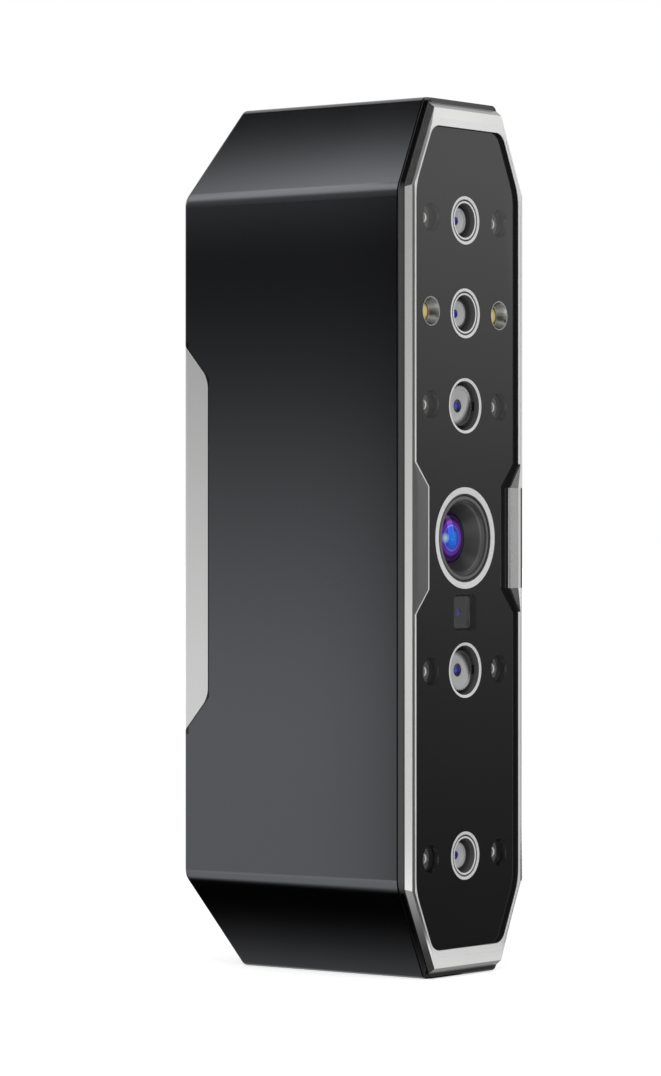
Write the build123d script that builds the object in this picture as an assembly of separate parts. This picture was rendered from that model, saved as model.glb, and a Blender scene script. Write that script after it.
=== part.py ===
from build123d import *
import math
import os

os.makedirs("parts", exist_ok=True)

# Sizes in millimetres. The lenses face -Y, +Z is up, the bottom end rests on z = 0.

# Outline seen from the front: an octagon with long sides and sloping ends
height = 215.7
width = 49.6
corner_rise = 23.05
corner_cut = 10.85
side_corner_radius = 8.0
end_corner_radius = 2.0

# Depths of the outer stack
housing_depth = 66.65
rear_slope = 10.5
rear_edge_radius = 1.0
rear_fold_radius = 5.0
wall = 1.8
groove_height = 0.4
groove_inset = 0.45
frame_thickness = 1.6
frame_edge = 0.15
frame_draft = 0.22
bezel_rise = 1.6
roof_rise = 0.12
step_band_rise = 0.15
step_face_rise = 0.25
button_proud = 0.8

# Clearances
fit = 0.1
close_fit = 0.03
running_fit = 0.05
seam = 0.2

# Front bezel: inset, then widths of chamfer, roof and lip, each at the sides, diagonals and ends
bezel_inset = 0.6
bezel_diagonal_inset = 0.4
bezel_end_inset = 1.45
chamfer_side = 0.9
chamfer_diagonal = 0.6
chamfer_end = 1.3
roof_side = 0.87
roof_diagonal = 0.65
roof_end = 4.25
lip_side = 0.8
lip_diagonal = 0.8
lip_end = 0.1
lip_drop = 0.1
lip_start = 0.03
opening_side_radius = 13.0
opening_end_radius = 4.0
step_width = 4.73
step_band = 1.2
step_lip = 0.5
step_lip_drop = 0.06
step_outer_half = 18.5
step_inner_half = 12.5

# Front window and its seat
window_recess = 0.9
window_thickness = 1.6
window_overlap = 0.65
seal_thickness = 0.3
seat_width = 1.5
ledge_thickness = 1.0
skirt_wall = 1.6

# Cameras: their distances from the middle are shares of the height
outer_camera_share = 0.363
colour_camera_share = 0.2568
inner_camera_share = 0.1511
outer_ring = 11.9
outer_ring_band = 1.65
outer_barrel = 6.8
outer_lens = 2.1
outer_recess = 2.45
colour_ring = 12.3
colour_ring_band = 1.6
colour_barrel = 7.4
colour_lens = 2.1
colour_recess = 2.6
inner_ring = 13.65
inner_ring_band = 0.7
inner_barrel = 10.0
inner_lens = 3.3
inner_recess = 1.9
ring_proud = 0.05
ring_seat = 0.45
ring_dish = 0.2
ring_flange = 0.3
ring_groove = 0.45
ring_groove_share = 0.45
barrel_head = 3.0
barrel_step = 0.7
barrel_rim = 0.75
barrel_cone = 0.5
tooth_depth = 0.3
teeth = 36
lens_depth = 2.6

# Projector and distance sensor
projector_ring = 25.05
projector_ring_band = 2.0
projector_gap = 0.2
projector_face = 0.35
projector_lip = 0.8
projector_mouth = 17.4
projector_lens_size = 12.7
projector_lens_recess = 4.9
projector_lens_depth = 2.6
projector_lens_bulge = 1.0
projector_lens_seat = 0.8
projector_width = 32.0
projector_height = 35.0
projector_share = 0.7
projector_tail = 12.0
heat_gap = 2.4
fin_gap = 2.2
fins = 6
fin_floor = 2.0
sensor_gap = 1.3
sensor_wide = 9.4
sensor_high = 9.0
sensor_corner = 1.6
sensor_shoulder = 0.6
sensor_core = 6.0
sensor_core_depth = 0.9
sensor_lens_size = 2.2

# Lamps: the distance of their columns from the middle is a share of the width
lamp_width_share = 0.29
well_size = 6.7
well_shoulder = 0.45
lamp_base = 3.2
lamp_base_height = 0.6
lamp_dome = 2.6
lamp_dome_height = 0.6
cup_size = 7.2
cup_rim = 0.25
cup_floor = 4.4
white_lamp_size = 4.0
white_lamp_height = 0.5
white_lamp_dome = 0.35

# Inner carriers
lamp_board_thickness = 1.0
bench_gap = 3.2
bench_thickness = 3.0
bench_clear = 0.5
post_size = 5.0
post_width_share = 0.26
post_shares = (0.21, 0.43)
holder_width = 17.4
holder_height = 15.0
holder_depth = 8.0
holder_chamber = 9.0
holder_chamber_depth = 2.5
holder_screw_offset = 6.9
camera_board_size = 17.0
camera_board_thickness = 1.2
camera_chip = 6.4
camera_chip_height = 0.9
plug_width = 8.0
plug_height = 2.6
plug_depth = 1.0
cable_width = 6.0
cable_thickness = 0.3
cable_drop = 5.0
cable_lead = 3.0
main_board_from_back = 24.5
main_board_thickness = 1.6
main_board_inset = 5.0
main_board_end = 3.0
spacer_size = 5.5
spacer_width_share = 0.32
spacer_share = 0.3
chip_size = 14.0
chip_height = 1.2
chip_share = 0.18
pad_thickness = 0.5
spreader_width = 28.0
spreader_height = 50.0
spreader_thickness = 2.0

# Screws
screw_size = 2.0
screw_head = 3.8
screw_head_height = 1.3
screw_bite = 2.2
lug_reach = 4.6
lug_size = 4.6
lug_share = 0.325
lug_gap = 0.2

# Bottom end: tripod thread insert and USB-C socket
tripod_bore = 6.35
tripod_bore_depth = 8.0
tripod_insert_size = 10.0
tripod_insert_length = 9.5
tripod_boss_wall = 2.4
tripod_from_front = 20.0
tripod_recess = 0.1
socket_width = 8.94
socket_height = 3.26
socket_length = 7.3
socket_skin = 0.3
socket_recess = 0.3
socket_gap = 0.15
tongue_width = 6.7
tongue_thickness = 0.7
tongue_recess = 0.8

# Rear: cover, trim, control panel and buttons
cover_recess = 0.3
cover_thickness = 3.0
cover_ledge = 1.4
cover_ledge_depth = 1.6
cover_screw_share = 0.363
cover_screw_inset = 5.6
cover_boss_depth = 8.0
cover_boss_half = 2.6
vent_length = 26.0
vent_width = 1.6
vent_pitch = 3.6
vents = 3
vent_share = 0.318
trim_thickness = 1.6
trim_half_length = 49.0
trim_reach = 7.9
trim_reach_half = 40.0
trim_wing = 1.0
trim_end_cut = 9.3
panel_recess = 0.2
panel_margin = 3.5
panel_end = 8.0
panel_corner = 5.0
scan_size = 13.0
small_size = 9.0
button_gap = 4.5
button_dish = 0.35
button_edge = 0.4
flange_reach = 0.8
flange_thickness = 0.8
flange_room = 0.4
button_travel = 0.5
contact_gap = 0.02
plunger_size = 3.2
button_board_drop = 5.2
button_board_thickness = 1.0
button_board_margin = 1.0
button_board_end = 9.0
button_post_size = 5.2
button_post_in = 3.0
switch_size = 6.0
switch_height = 2.6
switch_stem = 3.0
switch_stem_proud = 0.9
switch_floor = 0.6
status_gap = 7.0
status_size = 2.0
status_pitch = 5.0
status_lamp_height = 0.8

# Places worked out from the sizes above
step_rise = roof_rise + step_band_rise + step_face_rise
total_depth = step_rise + bezel_rise + frame_thickness + groove_height + housing_depth + button_proud
middle = height / 2
ridge_y = step_rise - total_depth / 2
crest_y = ridge_y - roof_rise
lip_y = crest_y + lip_drop
bezel_y = ridge_y + bezel_rise
frame_back_y = bezel_y + frame_thickness
house_y = frame_back_y + groove_height
back_y = house_y + housing_depth
window_y = ridge_y + window_recess
window_back_y = window_y + window_thickness
ledge_y = window_back_y + seal_thickness
ledge_back_y = ledge_y + ledge_thickness
lamp_board_y = ledge_back_y + fit
lamp_board_back_y = lamp_board_y + lamp_board_thickness
bench_y = lamp_board_back_y + bench_gap
bench_back_y = bench_y + bench_thickness
ring_y = window_y - ring_proud
seat_y = window_y + ring_seat
camera_board_y = bench_back_y + holder_depth
camera_board_back_y = camera_board_y + camera_board_thickness
main_y = back_y - main_board_from_back
main_back_y = main_y + main_board_thickness
projector_back_y = bench_back_y + (main_y - heat_gap - bench_back_y) * projector_share
heat_back_y = main_y - heat_gap
chip_back_y = main_back_y + chip_height
pad_back_y = chip_back_y + pad_thickness
panel_y = back_y - panel_recess
panel_in_y = back_y - trim_thickness
cover_y = back_y - cover_recess
cover_in_y = cover_y - cover_thickness
button_board_y = cover_in_y - button_board_drop
button_board_front_y = button_board_y - button_board_thickness
button_y = back_y + button_proud
flange_in_y = panel_in_y - contact_gap - flange_thickness
stem_top_y = button_board_y + switch_height + switch_stem_proud
bezel_foot = (bezel_inset, bezel_diagonal_inset, bezel_end_inset)
bezel_ridge = (bezel_inset + chamfer_side, bezel_diagonal_inset + chamfer_diagonal, bezel_end_inset + chamfer_end)
bezel_crest = (bezel_ridge[0] + roof_side, bezel_ridge[1] + roof_diagonal, bezel_ridge[2] + roof_end)
opening_side = bezel_crest[0] + lip_side
opening_diagonal = bezel_crest[1] + lip_diagonal
opening_end = bezel_crest[2] + lip_end
skirt_in = wall + fit + skirt_wall
screw_length = bench_thickness + screw_bite
lamp_x = lamp_width_share * width
post_x = post_width_share * width
spacer_x = spacer_width_share * width
spacer_z = spacer_share * height
lug_x = width / 2 - skirt_in - lug_reach / 2
lug_z = lug_share * height
outer_z = outer_camera_share * height
colour_z = colour_camera_share * height
inner_z = inner_camera_share * height
sensor_z = -(projector_ring / 2 + sensor_gap + sensor_high / 2)
chip_z = chip_share * height
cover_screw_x = width / 2 - wall - cover_screw_inset
cover_screw_z = cover_screw_share * height
vent_z = vent_share * height
plus_z = scan_size / 2 + button_gap + small_size / 2
status_z = plus_z + small_size / 2 + status_gap
panel_half_width = scan_size / 2 + panel_margin
panel_half_length = status_z + panel_end
button_post_z = status_z + button_board_end - button_post_in
tripod_y = house_y + tripod_from_front
socket_y = main_back_y + socket_height / 2

# name, height from the middle, ring, band, double ring, barrel, lens, recess
cameras = (
    ("upper_outer", outer_z, outer_ring, outer_ring_band, True, outer_barrel, outer_lens, outer_recess),
    ("colour", colour_z, colour_ring, colour_ring_band, True, colour_barrel, colour_lens, colour_recess),
    ("upper_inner", inner_z, inner_ring, inner_ring_band, False, inner_barrel, inner_lens, inner_recess),
    ("lower_inner", -inner_z, inner_ring, inner_ring_band, False, inner_barrel, inner_lens, inner_recess),
    ("lower_outer", -outer_z, outer_ring, outer_ring_band, True, outer_barrel, outer_lens, outer_recess),
)
lamp_places = [(sx * lamp_x, z) for z in (outer_z, inner_z, -inner_z, -outer_z) for sx in (-1, 1)]
cup_places = [(sx * lamp_x, colour_z) for sx in (-1, 1)]
post_spots = [(sx * post_x, sz * p * height) for p in post_shares for sx in (-1, 1) for sz in (-1, 1)]
spacer_spots = [(sx * spacer_x, sz * spacer_z) for sx in (-1, 1) for sz in (-1, 1)]
lug_spots = [(sx * lug_x, sz * lug_z) for sx in (-1, 1) for sz in (-1, 1)]
cover_screw_spots = [(sx * cover_screw_x, sz * cover_screw_z) for sx in (-1, 1) for sz in (-1, 1)]
projector_screw_spots = [
    (sx * (projector_width / 2 - screw_head / 2), sz * (projector_height / 2 - screw_head / 2))
    for sx in (-1, 1)
    for sz in (-1, 1)
]
holder_screw_spots = [(s * holder_screw_offset, camera[1]) for camera in cameras for s in (-1, 1)]
button_places = (("scan", 0.0, scan_size), ("plus", plus_z, small_size), ("minus", -plus_z, small_size))
status_spots = [(i * status_pitch, status_z) for i in (-1, 0, 1)]


def octagon_points(side, diagonal, end):
    """Corner points of the front outline drawn in by a distance at the sides, diagonals and ends."""
    length = math.hypot(corner_rise, corner_cut)
    nx = corner_rise / length
    nz = corner_cut / length
    reach = nx * width / 2 + nz * (height / 2 - corner_rise) - diagonal
    x = width / 2 - side
    z = height / 2 - end
    z_side = (reach - nx * x) / nz
    x_end = (reach - nz * z) / nx
    quarter = [(x, -z_side), (x, z_side), (x_end, z), (-x_end, z)]
    return quarter + [(-px, -pz) for px, pz in quarter]


def outline(side, diagonal=None, end=None, rounded=True):
    """Front outline as a sketch in x and z, measured from the middle of the height."""
    diagonal = side if diagonal is None else diagonal
    end = side if end is None else end
    sketch = Polygon(*octagon_points(side, diagonal, end))
    if rounded:
        side_radius = max(side_corner_radius - side, end_corner_radius)
        sides = [v for v in sketch.vertices() if abs(abs(v.X) - (width / 2 - side)) < seam / 2]
        sketch = fillet(sides, side_radius)
        end_radius = max(end_corner_radius - end, seam)
        ends = [v for v in sketch.vertices() if abs(abs(v.Y) - (height / 2 - end)) < seam / 2]
        sketch = fillet(ends, end_radius)
    return sketch


def slab(sketch, front, back):
    """Solid between two depths, from a sketch in x and z measured from mid-height."""
    plane = Plane.XZ.offset(-back)
    return Pos(0, 0, middle) * extrude(plane * sketch, amount=back - front, dir=(0, -1, 0))


def stacked(sketches, depths):
    """Solid with flat facets through sketches laid at several depths."""
    sections = [Plane.XZ.offset(-depth) * sketch for sketch, depth in zip(sketches, depths)]
    return Pos(0, 0, middle) * loft(sections, ruled=True)


def side_prism(sketch, x_from, x_to):
    """Solid between two x values, from a sketch in depth and height."""
    return Pos(x_from, 0, 0) * extrude(Plane.YZ * sketch, amount=x_to - x_from, dir=(1, 0, 0))


def turned(points, x=0.0, z=0.0):
    """Solid of revolution from points given as radius and depth, its axis along Y."""
    return Pos(x, 0, z + middle) * revolve(Polygon(*points), Axis.Y)


def rod(radius, front, back, x=0.0, z=0.0):
    """Round rod along Y."""
    return slab(Pos(x, z) * Circle(radius), front, back)


def block(x, z, wide, high, front, back):
    """Box given by its middle in the front view, its size there and two depths."""
    return slab(Pos(x, z) * Rectangle(wide, high), front, back)


def dome(radius, rim, bulge, back, x=0.0, z=0.0):
    """Round lens with a ball-shaped front and a flat back."""
    ball = (radius * radius + bulge * bulge) / (2 * bulge)
    half = radius / 2
    crown = (half, rim - bulge + ball - math.sqrt(ball * ball - half * half))
    arc = ThreePointArc((0, rim - bulge), crown, (radius, rim))
    rest = Polyline((radius, rim), (radius, back), (0, back), (0, rim - bulge))
    return Pos(x, 0, z + middle) * revolve(make_face(arc.edges() + rest.edges()), Axis.Y)


def union(shapes):
    """All shapes fused into one solid."""
    shapes = list(shapes)
    return shapes[0].fuse(*shapes[1:]) if len(shapes) > 1 else shapes[0]


def group(shapes):
    """Separate solids kept side by side in one node."""
    return Compound(children=[solid for shape in shapes for solid in shape.solids()])


def screw(x, z, seat, facing):
    """Pan-head screw: the head stands off the seat, the shank runs the other way."""
    head = sorted((seat, seat + facing * screw_head_height))
    shank = sorted((seat, seat - facing * screw_length))
    return rod(screw_head / 2, *head, x, z) + rod(screw_size / 2, *shank, x, z)


def screw_hole(x, z, front, back):
    """Clearance hole for a screw shank."""
    return rod(screw_size / 2 + running_fit, front, back, x, z)


def rear_profile(drop):
    """Side view of everything in front of the rear faces, moved forward by drop."""
    deep = back_y - drop
    points = (
        (house_y, 0),
        (deep - rear_slope, 0),
        (deep, corner_rise),
        (deep, height - corner_rise),
        (deep - rear_slope, height),
        (house_y, height),
    )
    sketch = Polygon(*points)
    folds = [v for v in sketch.vertices() if v.X > deep - rear_slope / 2]
    return side_prism(fillet(folds, rear_fold_radius), -width, width)


def make_envelope():
    """Solid outer form of the housing with its rear edges eased."""
    body = slab(outline(0), house_y, back_y) & rear_profile(0)
    rear = [f for f in body.faces() if f.normal_at().Y > seam]
    rims = {}
    for face in rear:
        for edge in face.edges():
            rims.setdefault(tuple(round(c, 3) for c in edge.center()), []).append(edge)
    return fillet([edges[0] for edges in rims.values() if len(edges) == 1], rear_edge_radius)


def trim_region(gap):
    """Room of the rear trim: a plate on the back and a wing on each side, grown by a gap."""
    slope = (trim_half_length - trim_reach_half) / trim_reach
    far = trim_half_length + slope * trim_end_cut + gap
    near = trim_half_length + gap
    x_end = width / 2 - trim_end_cut
    plate = Polygon(
        (width, near), (width / 2, near), (x_end, far), (-x_end, far), (-width / 2, near), (-width, near),
        (-width, -near), (-width / 2, -near), (-x_end, -far), (x_end, -far), (width / 2, -near), (width, -near),
    )
    shapes = [slab(plate, back_y - trim_thickness, back_y + button_proud)]
    reach = trim_reach + gap
    low = near - slope * reach
    wing = Polygon(
        (back_y + button_proud, middle - near),
        (back_y, middle - near),
        (back_y - reach, middle - low),
        (back_y - reach, middle + low),
        (back_y, middle + near),
        (back_y + button_proud, middle + near),
    )
    edge = width / 2 - trim_wing
    shapes.append(side_prism(wing, edge, width))
    shapes.append(side_prism(wing, -width, -edge))
    return union(shapes)


def panel_shape(gap):
    """Outline of the control panel, grown by a gap."""
    x = panel_half_width + gap
    z = panel_half_length + gap
    sketch = Polygon(
        (x, -z + 2 * panel_corner), (x, z - 2 * panel_corner), (x - panel_corner, z), (-x + panel_corner, z),
        (-x, z - 2 * panel_corner), (-x, -z + 2 * panel_corner), (-x + panel_corner, -z), (x - panel_corner, -z),
    )
    return fillet(sketch.vertices(), end_corner_radius)


def make_housing(envelope, trim_room):
    """Metal tube: outer form less its inside, with the rear cover's ledge, bosses and bottom holes."""
    body = envelope - slab(outline(wall), house_y - 1, back_y + 1)
    inside = slab(outline(wall - fit), house_y, back_y)
    ring = inside - slab(outline(wall + cover_ledge), house_y - 1, back_y + 1)
    under = cover_recess + cover_thickness
    body += ring & (rear_profile(under) - rear_profile(under + cover_ledge_depth))
    for x, z in cover_screw_spots:
        inner = x - math.copysign(cover_boss_half, x)
        outer = math.copysign(width / 2 - wall / 2, x)
        boss = block((inner + outer) / 2, z, abs(outer - inner), 2 * cover_boss_half,
                     cover_in_y - cover_boss_depth, cover_in_y)
        body += boss
        body -= screw_hole(x, z, cover_in_y - cover_boss_depth + wall, cover_in_y)
    boss_radius = tripod_insert_size / 2 + tripod_boss_wall
    boss_top = tripod_recess + tripod_insert_length + wall / 2
    body += Pos(0, tripod_y, wall / 2) * extrude(Circle(boss_radius), amount=boss_top - wall / 2)
    hole = Circle(tripod_insert_size / 2 + close_fit)
    body -= Pos(0, tripod_y, 0) * extrude(hole, amount=tripod_recess + tripod_insert_length)
    slot = SlotOverall(socket_width + 2 * socket_gap, socket_height + 2 * socket_gap)
    body -= Pos(0, socket_y, -wall) * extrude(slot, amount=3 * wall)
    return body - trim_room


def make_groove_ring():
    """Thin seal that makes the dark groove between housing and frame."""
    return slab(outline(groove_inset) - outline(wall - fit), frame_back_y, house_y)


def make_frame():
    """Black frame: outer band, pocket for the window, ledge behind it, skirt and screw lugs."""
    pocket = [opening_side - window_overlap - fit, opening_diagonal - window_overlap - fit]
    pocket_end = opening_end - window_overlap - fit
    hole = outline(*pocket, pocket_end, rounded=False)
    sections = (outline(0), outline(frame_draft), outline(frame_draft + frame_edge))
    band = stacked(sections, (frame_back_y, bezel_y + frame_edge, bezel_y))
    skirt = slab(outline(wall + fit), frame_back_y - fit, bench_y)
    body = band + skirt
    body -= slab(hole, bezel_y - 1, ledge_y)
    seat = outline(pocket[0] + fit + seat_width, pocket[1] + fit + seat_width, pocket_end + fit + seat_width,
                   rounded=False)
    body -= slab(seat, bezel_y - 1, bench_y + 1)
    body -= slab(outline(skirt_in), ledge_back_y, bench_y + 1)
    lug_front = lamp_board_back_y + lug_gap
    for x, z in lug_spots:
        outer = math.copysign(width / 2 - wall - fit - skirt_wall / 2, x)
        inner = x - math.copysign(lug_size / 2, x)
        body += block((inner + outer) / 2, z, abs(outer - inner), lug_size, lug_front, bench_y)
        body -= screw_hole(x, z, lug_front - fit, bench_y + 1)
    return body


def opening_outline(grow_side, grow_diagonal, grow_end):
    """Rounded outline of the bezel opening without its steps, grown by a distance on each kind of edge."""
    side = opening_side - grow_side
    end = opening_end - grow_end
    sketch = Polygon(*octagon_points(side, opening_diagonal - grow_diagonal, end))
    sides = [v for v in sketch.vertices() if abs(abs(v.X) - (width / 2 - side)) < seam / 2]
    sketch = fillet(sides, opening_side_radius + grow_side)
    ends = [v for v in sketch.vertices() if abs(abs(v.Y) - (height / 2 - end)) < seam / 2]
    return fillet(ends, opening_end_radius + grow_end)


def step_plate(side):
    """Outline of a side step: a trapezoid that narrows the opening at mid-height."""
    x_out = side * width / 2
    x = side * (width / 2 - opening_side)
    x_in = x - side * step_width
    return Polygon((x_out, -step_outer_half), (x, -step_outer_half), (x_in, -step_inner_half),
                   (x_in, step_inner_half), (x, step_outer_half), (x_out, step_outer_half))


def step_facets(side):
    """Facets on a side step: a steep band, a flatter face, two end facets and a narrow lip."""
    x_crest = width / 2 - bezel_crest[0]
    x_out = width / 2 - opening_side
    x_in = x_out - step_width
    band_y = crest_y - step_band_rise
    face_y = band_y - step_face_rise
    corners = (
        (x_crest, crest_y, step_outer_half),
        (x_out, lip_y, step_outer_half),
        (x_in, face_y + step_lip_drop, step_inner_half),
        (x_in + step_lip, face_y, step_inner_half),
        (x_crest - step_band, band_y, step_inner_half),
    )
    crest, out, tip, face, band = [Vector(side * x, y, middle + z) for x, y, z in corners]
    crest_low, out_low, tip_low, face_low, band_low = [Vector(side * x, y, middle - z) for x, y, z in corners]
    rim = [crest, out, tip, tip_low, out_low, crest_low]
    feet = [Vector(p.X, lip_y + lip_drop, p.Z) for p in rim]
    loops = [
        [crest, band, band_low, crest_low],
        [band, face, face_low, band_low],
        [face, tip, tip_low, face_low],
        [crest, face, band],
        [crest_low, face_low, band_low],
        [crest, out, face],
        [out, tip, face],
        [crest_low, out_low, face_low],
        [out_low, tip_low, face_low],
        feet,
    ]
    for i in range(len(rim)):
        j = (i + 1) % len(rim)
        loops.append([feet[i], feet[j], rim[j], rim[i]])
    return Solid(Shell([Face(Wire.make_polygon(loop)) for loop in loops]))


def make_bezel():
    """Silver bezel: mitred chamfer, roof and lip round a rounded opening with a faceted step on each side."""
    rings = [Polygon(*octagon_points(*inset)) for inset in (bezel_foot, bezel_ridge, bezel_crest)]
    body = stacked(rings, (bezel_y, ridge_y, crest_y))
    mouth = opening_outline(lip_side - lip_start, lip_diagonal - lip_start, lip_start)
    opening = opening_outline(0, 0, 0)
    body -= stacked((opening, mouth), (lip_y, crest_y))
    body -= slab(opening - step_plate(-1) - step_plate(1), ridge_y - 1, bezel_y + 1)
    body = union([body] + [step_facets(side) for side in (-1, 1)])
    lower = [opening_side - window_overlap - fit, opening_diagonal - window_overlap - fit]
    hole = outline(*lower, opening_end - window_overlap - fit, rounded=False)
    return body - slab(hole, window_y, bezel_y + 1)


def make_window():
    """Glass front with holes for rings, lamps, cups and the sensor."""
    sketch = outline(opening_side - window_overlap, opening_diagonal - window_overlap,
                     opening_end - window_overlap, rounded=False)
    body = slab(sketch, window_y, window_back_y)
    cuts = [rod(c[2] / 2 - ring_flange + running_fit, window_y - 1, window_back_y + 1, 0, c[1]) for c in cameras]
    cuts.append(rod(projector_ring / 2 - ring_flange + running_fit, window_y - 1, window_back_y + 1))
    cuts += [rod(c[2] / 2 + running_fit, window_y - 1, seat_y, 0, c[1]) for c in cameras]
    cuts.append(rod(projector_ring / 2 + running_fit, window_y - 1, seat_y))
    cuts += [rod(well_size / 2, window_y - 1, window_back_y + 1, x, z) for x, z in lamp_places]
    cuts += [rod(cup_size / 2 + running_fit, window_y - 1, window_back_y + 1, x, z) for x, z in cup_places]
    cuts.append(slab(sensor_sketch(0), window_y - 1, window_back_y + 1))
    return body.cut(*cuts)


def sensor_sketch(draw_in):
    """Rounded square of the sensor opening, drawn in by a distance."""
    shape = RectangleRounded(sensor_wide - 2 * draw_in, sensor_high - 2 * draw_in, sensor_corner - draw_in)
    return Pos(0, sensor_z) * shape


def make_window_seal():
    """Flat seal between the window and the frame ledge."""
    draw = -window_overlap
    outer = outline(opening_side + draw, opening_diagonal + draw, opening_end + draw, rounded=False)
    draw += seat_width
    inner = outline(opening_side + draw, opening_diagonal + draw, opening_end + draw, rounded=False)
    return slab(outer - inner, window_back_y, ledge_y)


def make_baffle():
    """Black spacer behind the window that forms the wells around lenses and lamps."""
    draw = seat_width - window_overlap + fit
    body = slab(outline(opening_side + draw, opening_diagonal + draw, opening_end + draw, rounded=False),
                window_back_y, lamp_board_y)
    span = (window_back_y - 1, lamp_board_y + 1)
    cuts = [rod(c[2] / 2 - c[3], *span, 0, c[1]) for c in cameras]
    cuts.append(rod(projector_ring / 2 - projector_ring_band, *span))
    cuts += [rod(well_size / 2 - well_shoulder, *span, x, z) for x, z in lamp_places]
    cuts += [rod(cup_size / 2 + running_fit, *span, x, z) for x, z in cup_places]
    cuts.append(slab(sensor_sketch(sensor_shoulder), *span))
    return body.cut(*cuts)


def make_ring(size, band, doubled, x=0.0, z=0.0):
    """Silver lens ring with a flange let into the glass, a dished face and, on the smaller ones, a groove."""
    outer = size / 2
    inner = outer - band
    neck = outer - ring_flange
    dish = ring_dish / band
    points = [(inner, window_back_y), (neck, window_back_y), (neck, seat_y), (outer, seat_y),
              (outer, ring_y + ring_proud / 3), (outer - ring_proud / 3, ring_y)]
    if doubled:
        edge = band * ring_groove_share
        for reach, drop in ((edge, 0), (edge, ring_groove), (edge + ring_groove, ring_groove),
                            (edge + ring_groove, 0)):
            points.append((outer - reach, ring_y + dish * reach + drop))
    points.append((inner, ring_y + ring_dish))
    return turned(points, x, z)


def barrel_body_radius(size):
    """Radius of a lens barrel behind its head."""
    return size / 2 - barrel_step


def make_barrel(z, size, lens, recess):
    """Lens barrel: notched head, dished face, plain body, bore for the lens."""
    radius = size / 2
    face = ring_y + recess
    step = 2 * math.pi / teeth
    rim = []
    for i in range(teeth):
        for part, reach in ((0.0, radius), (0.5, radius), (0.6, radius - tooth_depth), (0.9, radius - tooth_depth)):
            angle = (i + part) * step
            rim.append((reach * math.cos(angle), z + reach * math.sin(angle)))
    head_back = face + barrel_head
    body = slab(Polygon(*rim), face - tooth_depth, head_back)
    body += rod(barrel_body_radius(size), head_back, camera_board_y - holder_chamber_depth, 0, z)
    inner = radius - barrel_rim
    body -= turned([(0, face - 1), (inner, face - 1), (inner, face), (lens / 2, face + barrel_cone),
                    (0, face + barrel_cone)], 0, z)
    return body - rod(lens / 2, face, camera_board_y, 0, z)


def make_lens(z, lens, recess):
    """Front lens of a camera."""
    rim = ring_y + recess + barrel_cone
    radius = lens / 2 - close_fit
    return dome(radius, rim, radius * 0.4, rim + lens_depth, 0, z)


def projector_radius():
    """Outer radius of the projector barrel."""
    return projector_ring / 2 - projector_ring_band - projector_gap


def make_projector_barrel():
    """Turned barrel with a stepped lip and a funnel down to the lens."""
    face = ring_y + projector_face
    outer = projector_radius()
    mouth = projector_mouth / 2
    seat = ring_y + projector_lens_recess
    lens = projector_lens_size / 2
    lip = (outer + mouth) / 2
    seat_back = seat + projector_lens_depth
    tail = bench_back_y + projector_tail
    points = [
        (outer, face), (lip, face), (lip, face + projector_lip / 2), (mouth + projector_lip / 2, face + projector_lip / 2),
        (mouth, face + projector_lip), (lens, seat), (lens, seat_back),
        (lens - projector_lens_seat, seat_back), (lens - projector_lens_seat, tail), (outer, tail),
    ]
    return turned(points)


def make_projector_lens():
    """Large coated front lens of the projector."""
    seat = ring_y + projector_lens_recess
    radius = projector_lens_size / 2 - close_fit
    return dome(radius, seat, projector_lens_bulge, seat + projector_lens_depth)


def make_projector_housing():
    """Block behind the bench that holds the projector barrel."""
    body = block(0, 0, projector_width, projector_height, bench_back_y, projector_back_y)
    body -= rod(projector_radius() + close_fit, bench_back_y - 1, bench_back_y + projector_tail)
    for x, z in projector_screw_spots:
        body -= screw_hole(x, z, bench_back_y - 1, bench_back_y + screw_bite + fit)
    return body


def make_heat_sink():
    """Finned block on the back of the projector housing."""
    body = block(0, 0, projector_width, projector_height, projector_back_y, heat_back_y)
    pitch = projector_height / fins
    floor = projector_back_y + fin_floor
    for i in range(1, fins):
        body -= block(0, i * pitch - projector_height / 2, 2 * projector_width, fin_gap, floor, heat_back_y + 1)
    return body


def make_lamp_windows():
    """Dark round windows in front of the infrared lamps."""
    return group(rod(well_size / 2 - close_fit, window_y, window_back_y, x, z) for x, z in lamp_places)


def make_sensor_window():
    """Dark rounded-square window in front of the distance sensor."""
    return slab(sensor_sketch(close_fit), window_y, window_back_y)


def make_sensor_frame():
    """Square core of the distance sensor on the lamp board."""
    front = lamp_board_y - sensor_core_depth
    body = block(0, sensor_z, sensor_core, sensor_core, front, lamp_board_y)
    return body - rod(sensor_lens_size / 2 + close_fit, front - 1, lamp_board_y, 0, sensor_z)


def make_sensor_lens():
    """Small lens set in the sensor core."""
    radius = sensor_lens_size / 2
    rim = lamp_board_y - sensor_core_depth / 2
    return dome(radius, rim, radius * 0.3, lamp_board_y, 0, sensor_z)


def make_infrared_lamps():
    """Domed lamps on the lamp board."""
    shoulder = lamp_board_y - lamp_base_height
    shapes = []
    for x, z in lamp_places:
        base = rod(lamp_base / 2, shoulder, lamp_board_y, x, z)
        shapes.append(base + dome(lamp_dome / 2, shoulder, lamp_dome_height, lamp_board_y, x, z))
    return group(shapes)


def make_white_lamps():
    """Phosphor lamps at the bottom of the cups."""
    rim = lamp_board_y - white_lamp_height
    return group(dome(white_lamp_size / 2, rim, white_lamp_dome, lamp_board_y, x, z) for x, z in cup_places)


def make_cups():
    """Silver reflector cups around the white lamps."""
    outer = cup_size / 2
    front = window_y - fit
    points = [(outer, front), (outer - cup_rim, front), (cup_floor / 2, lamp_board_y), (outer, lamp_board_y)]
    return group(turned(points, x, z) for x, z in cup_places)


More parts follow.
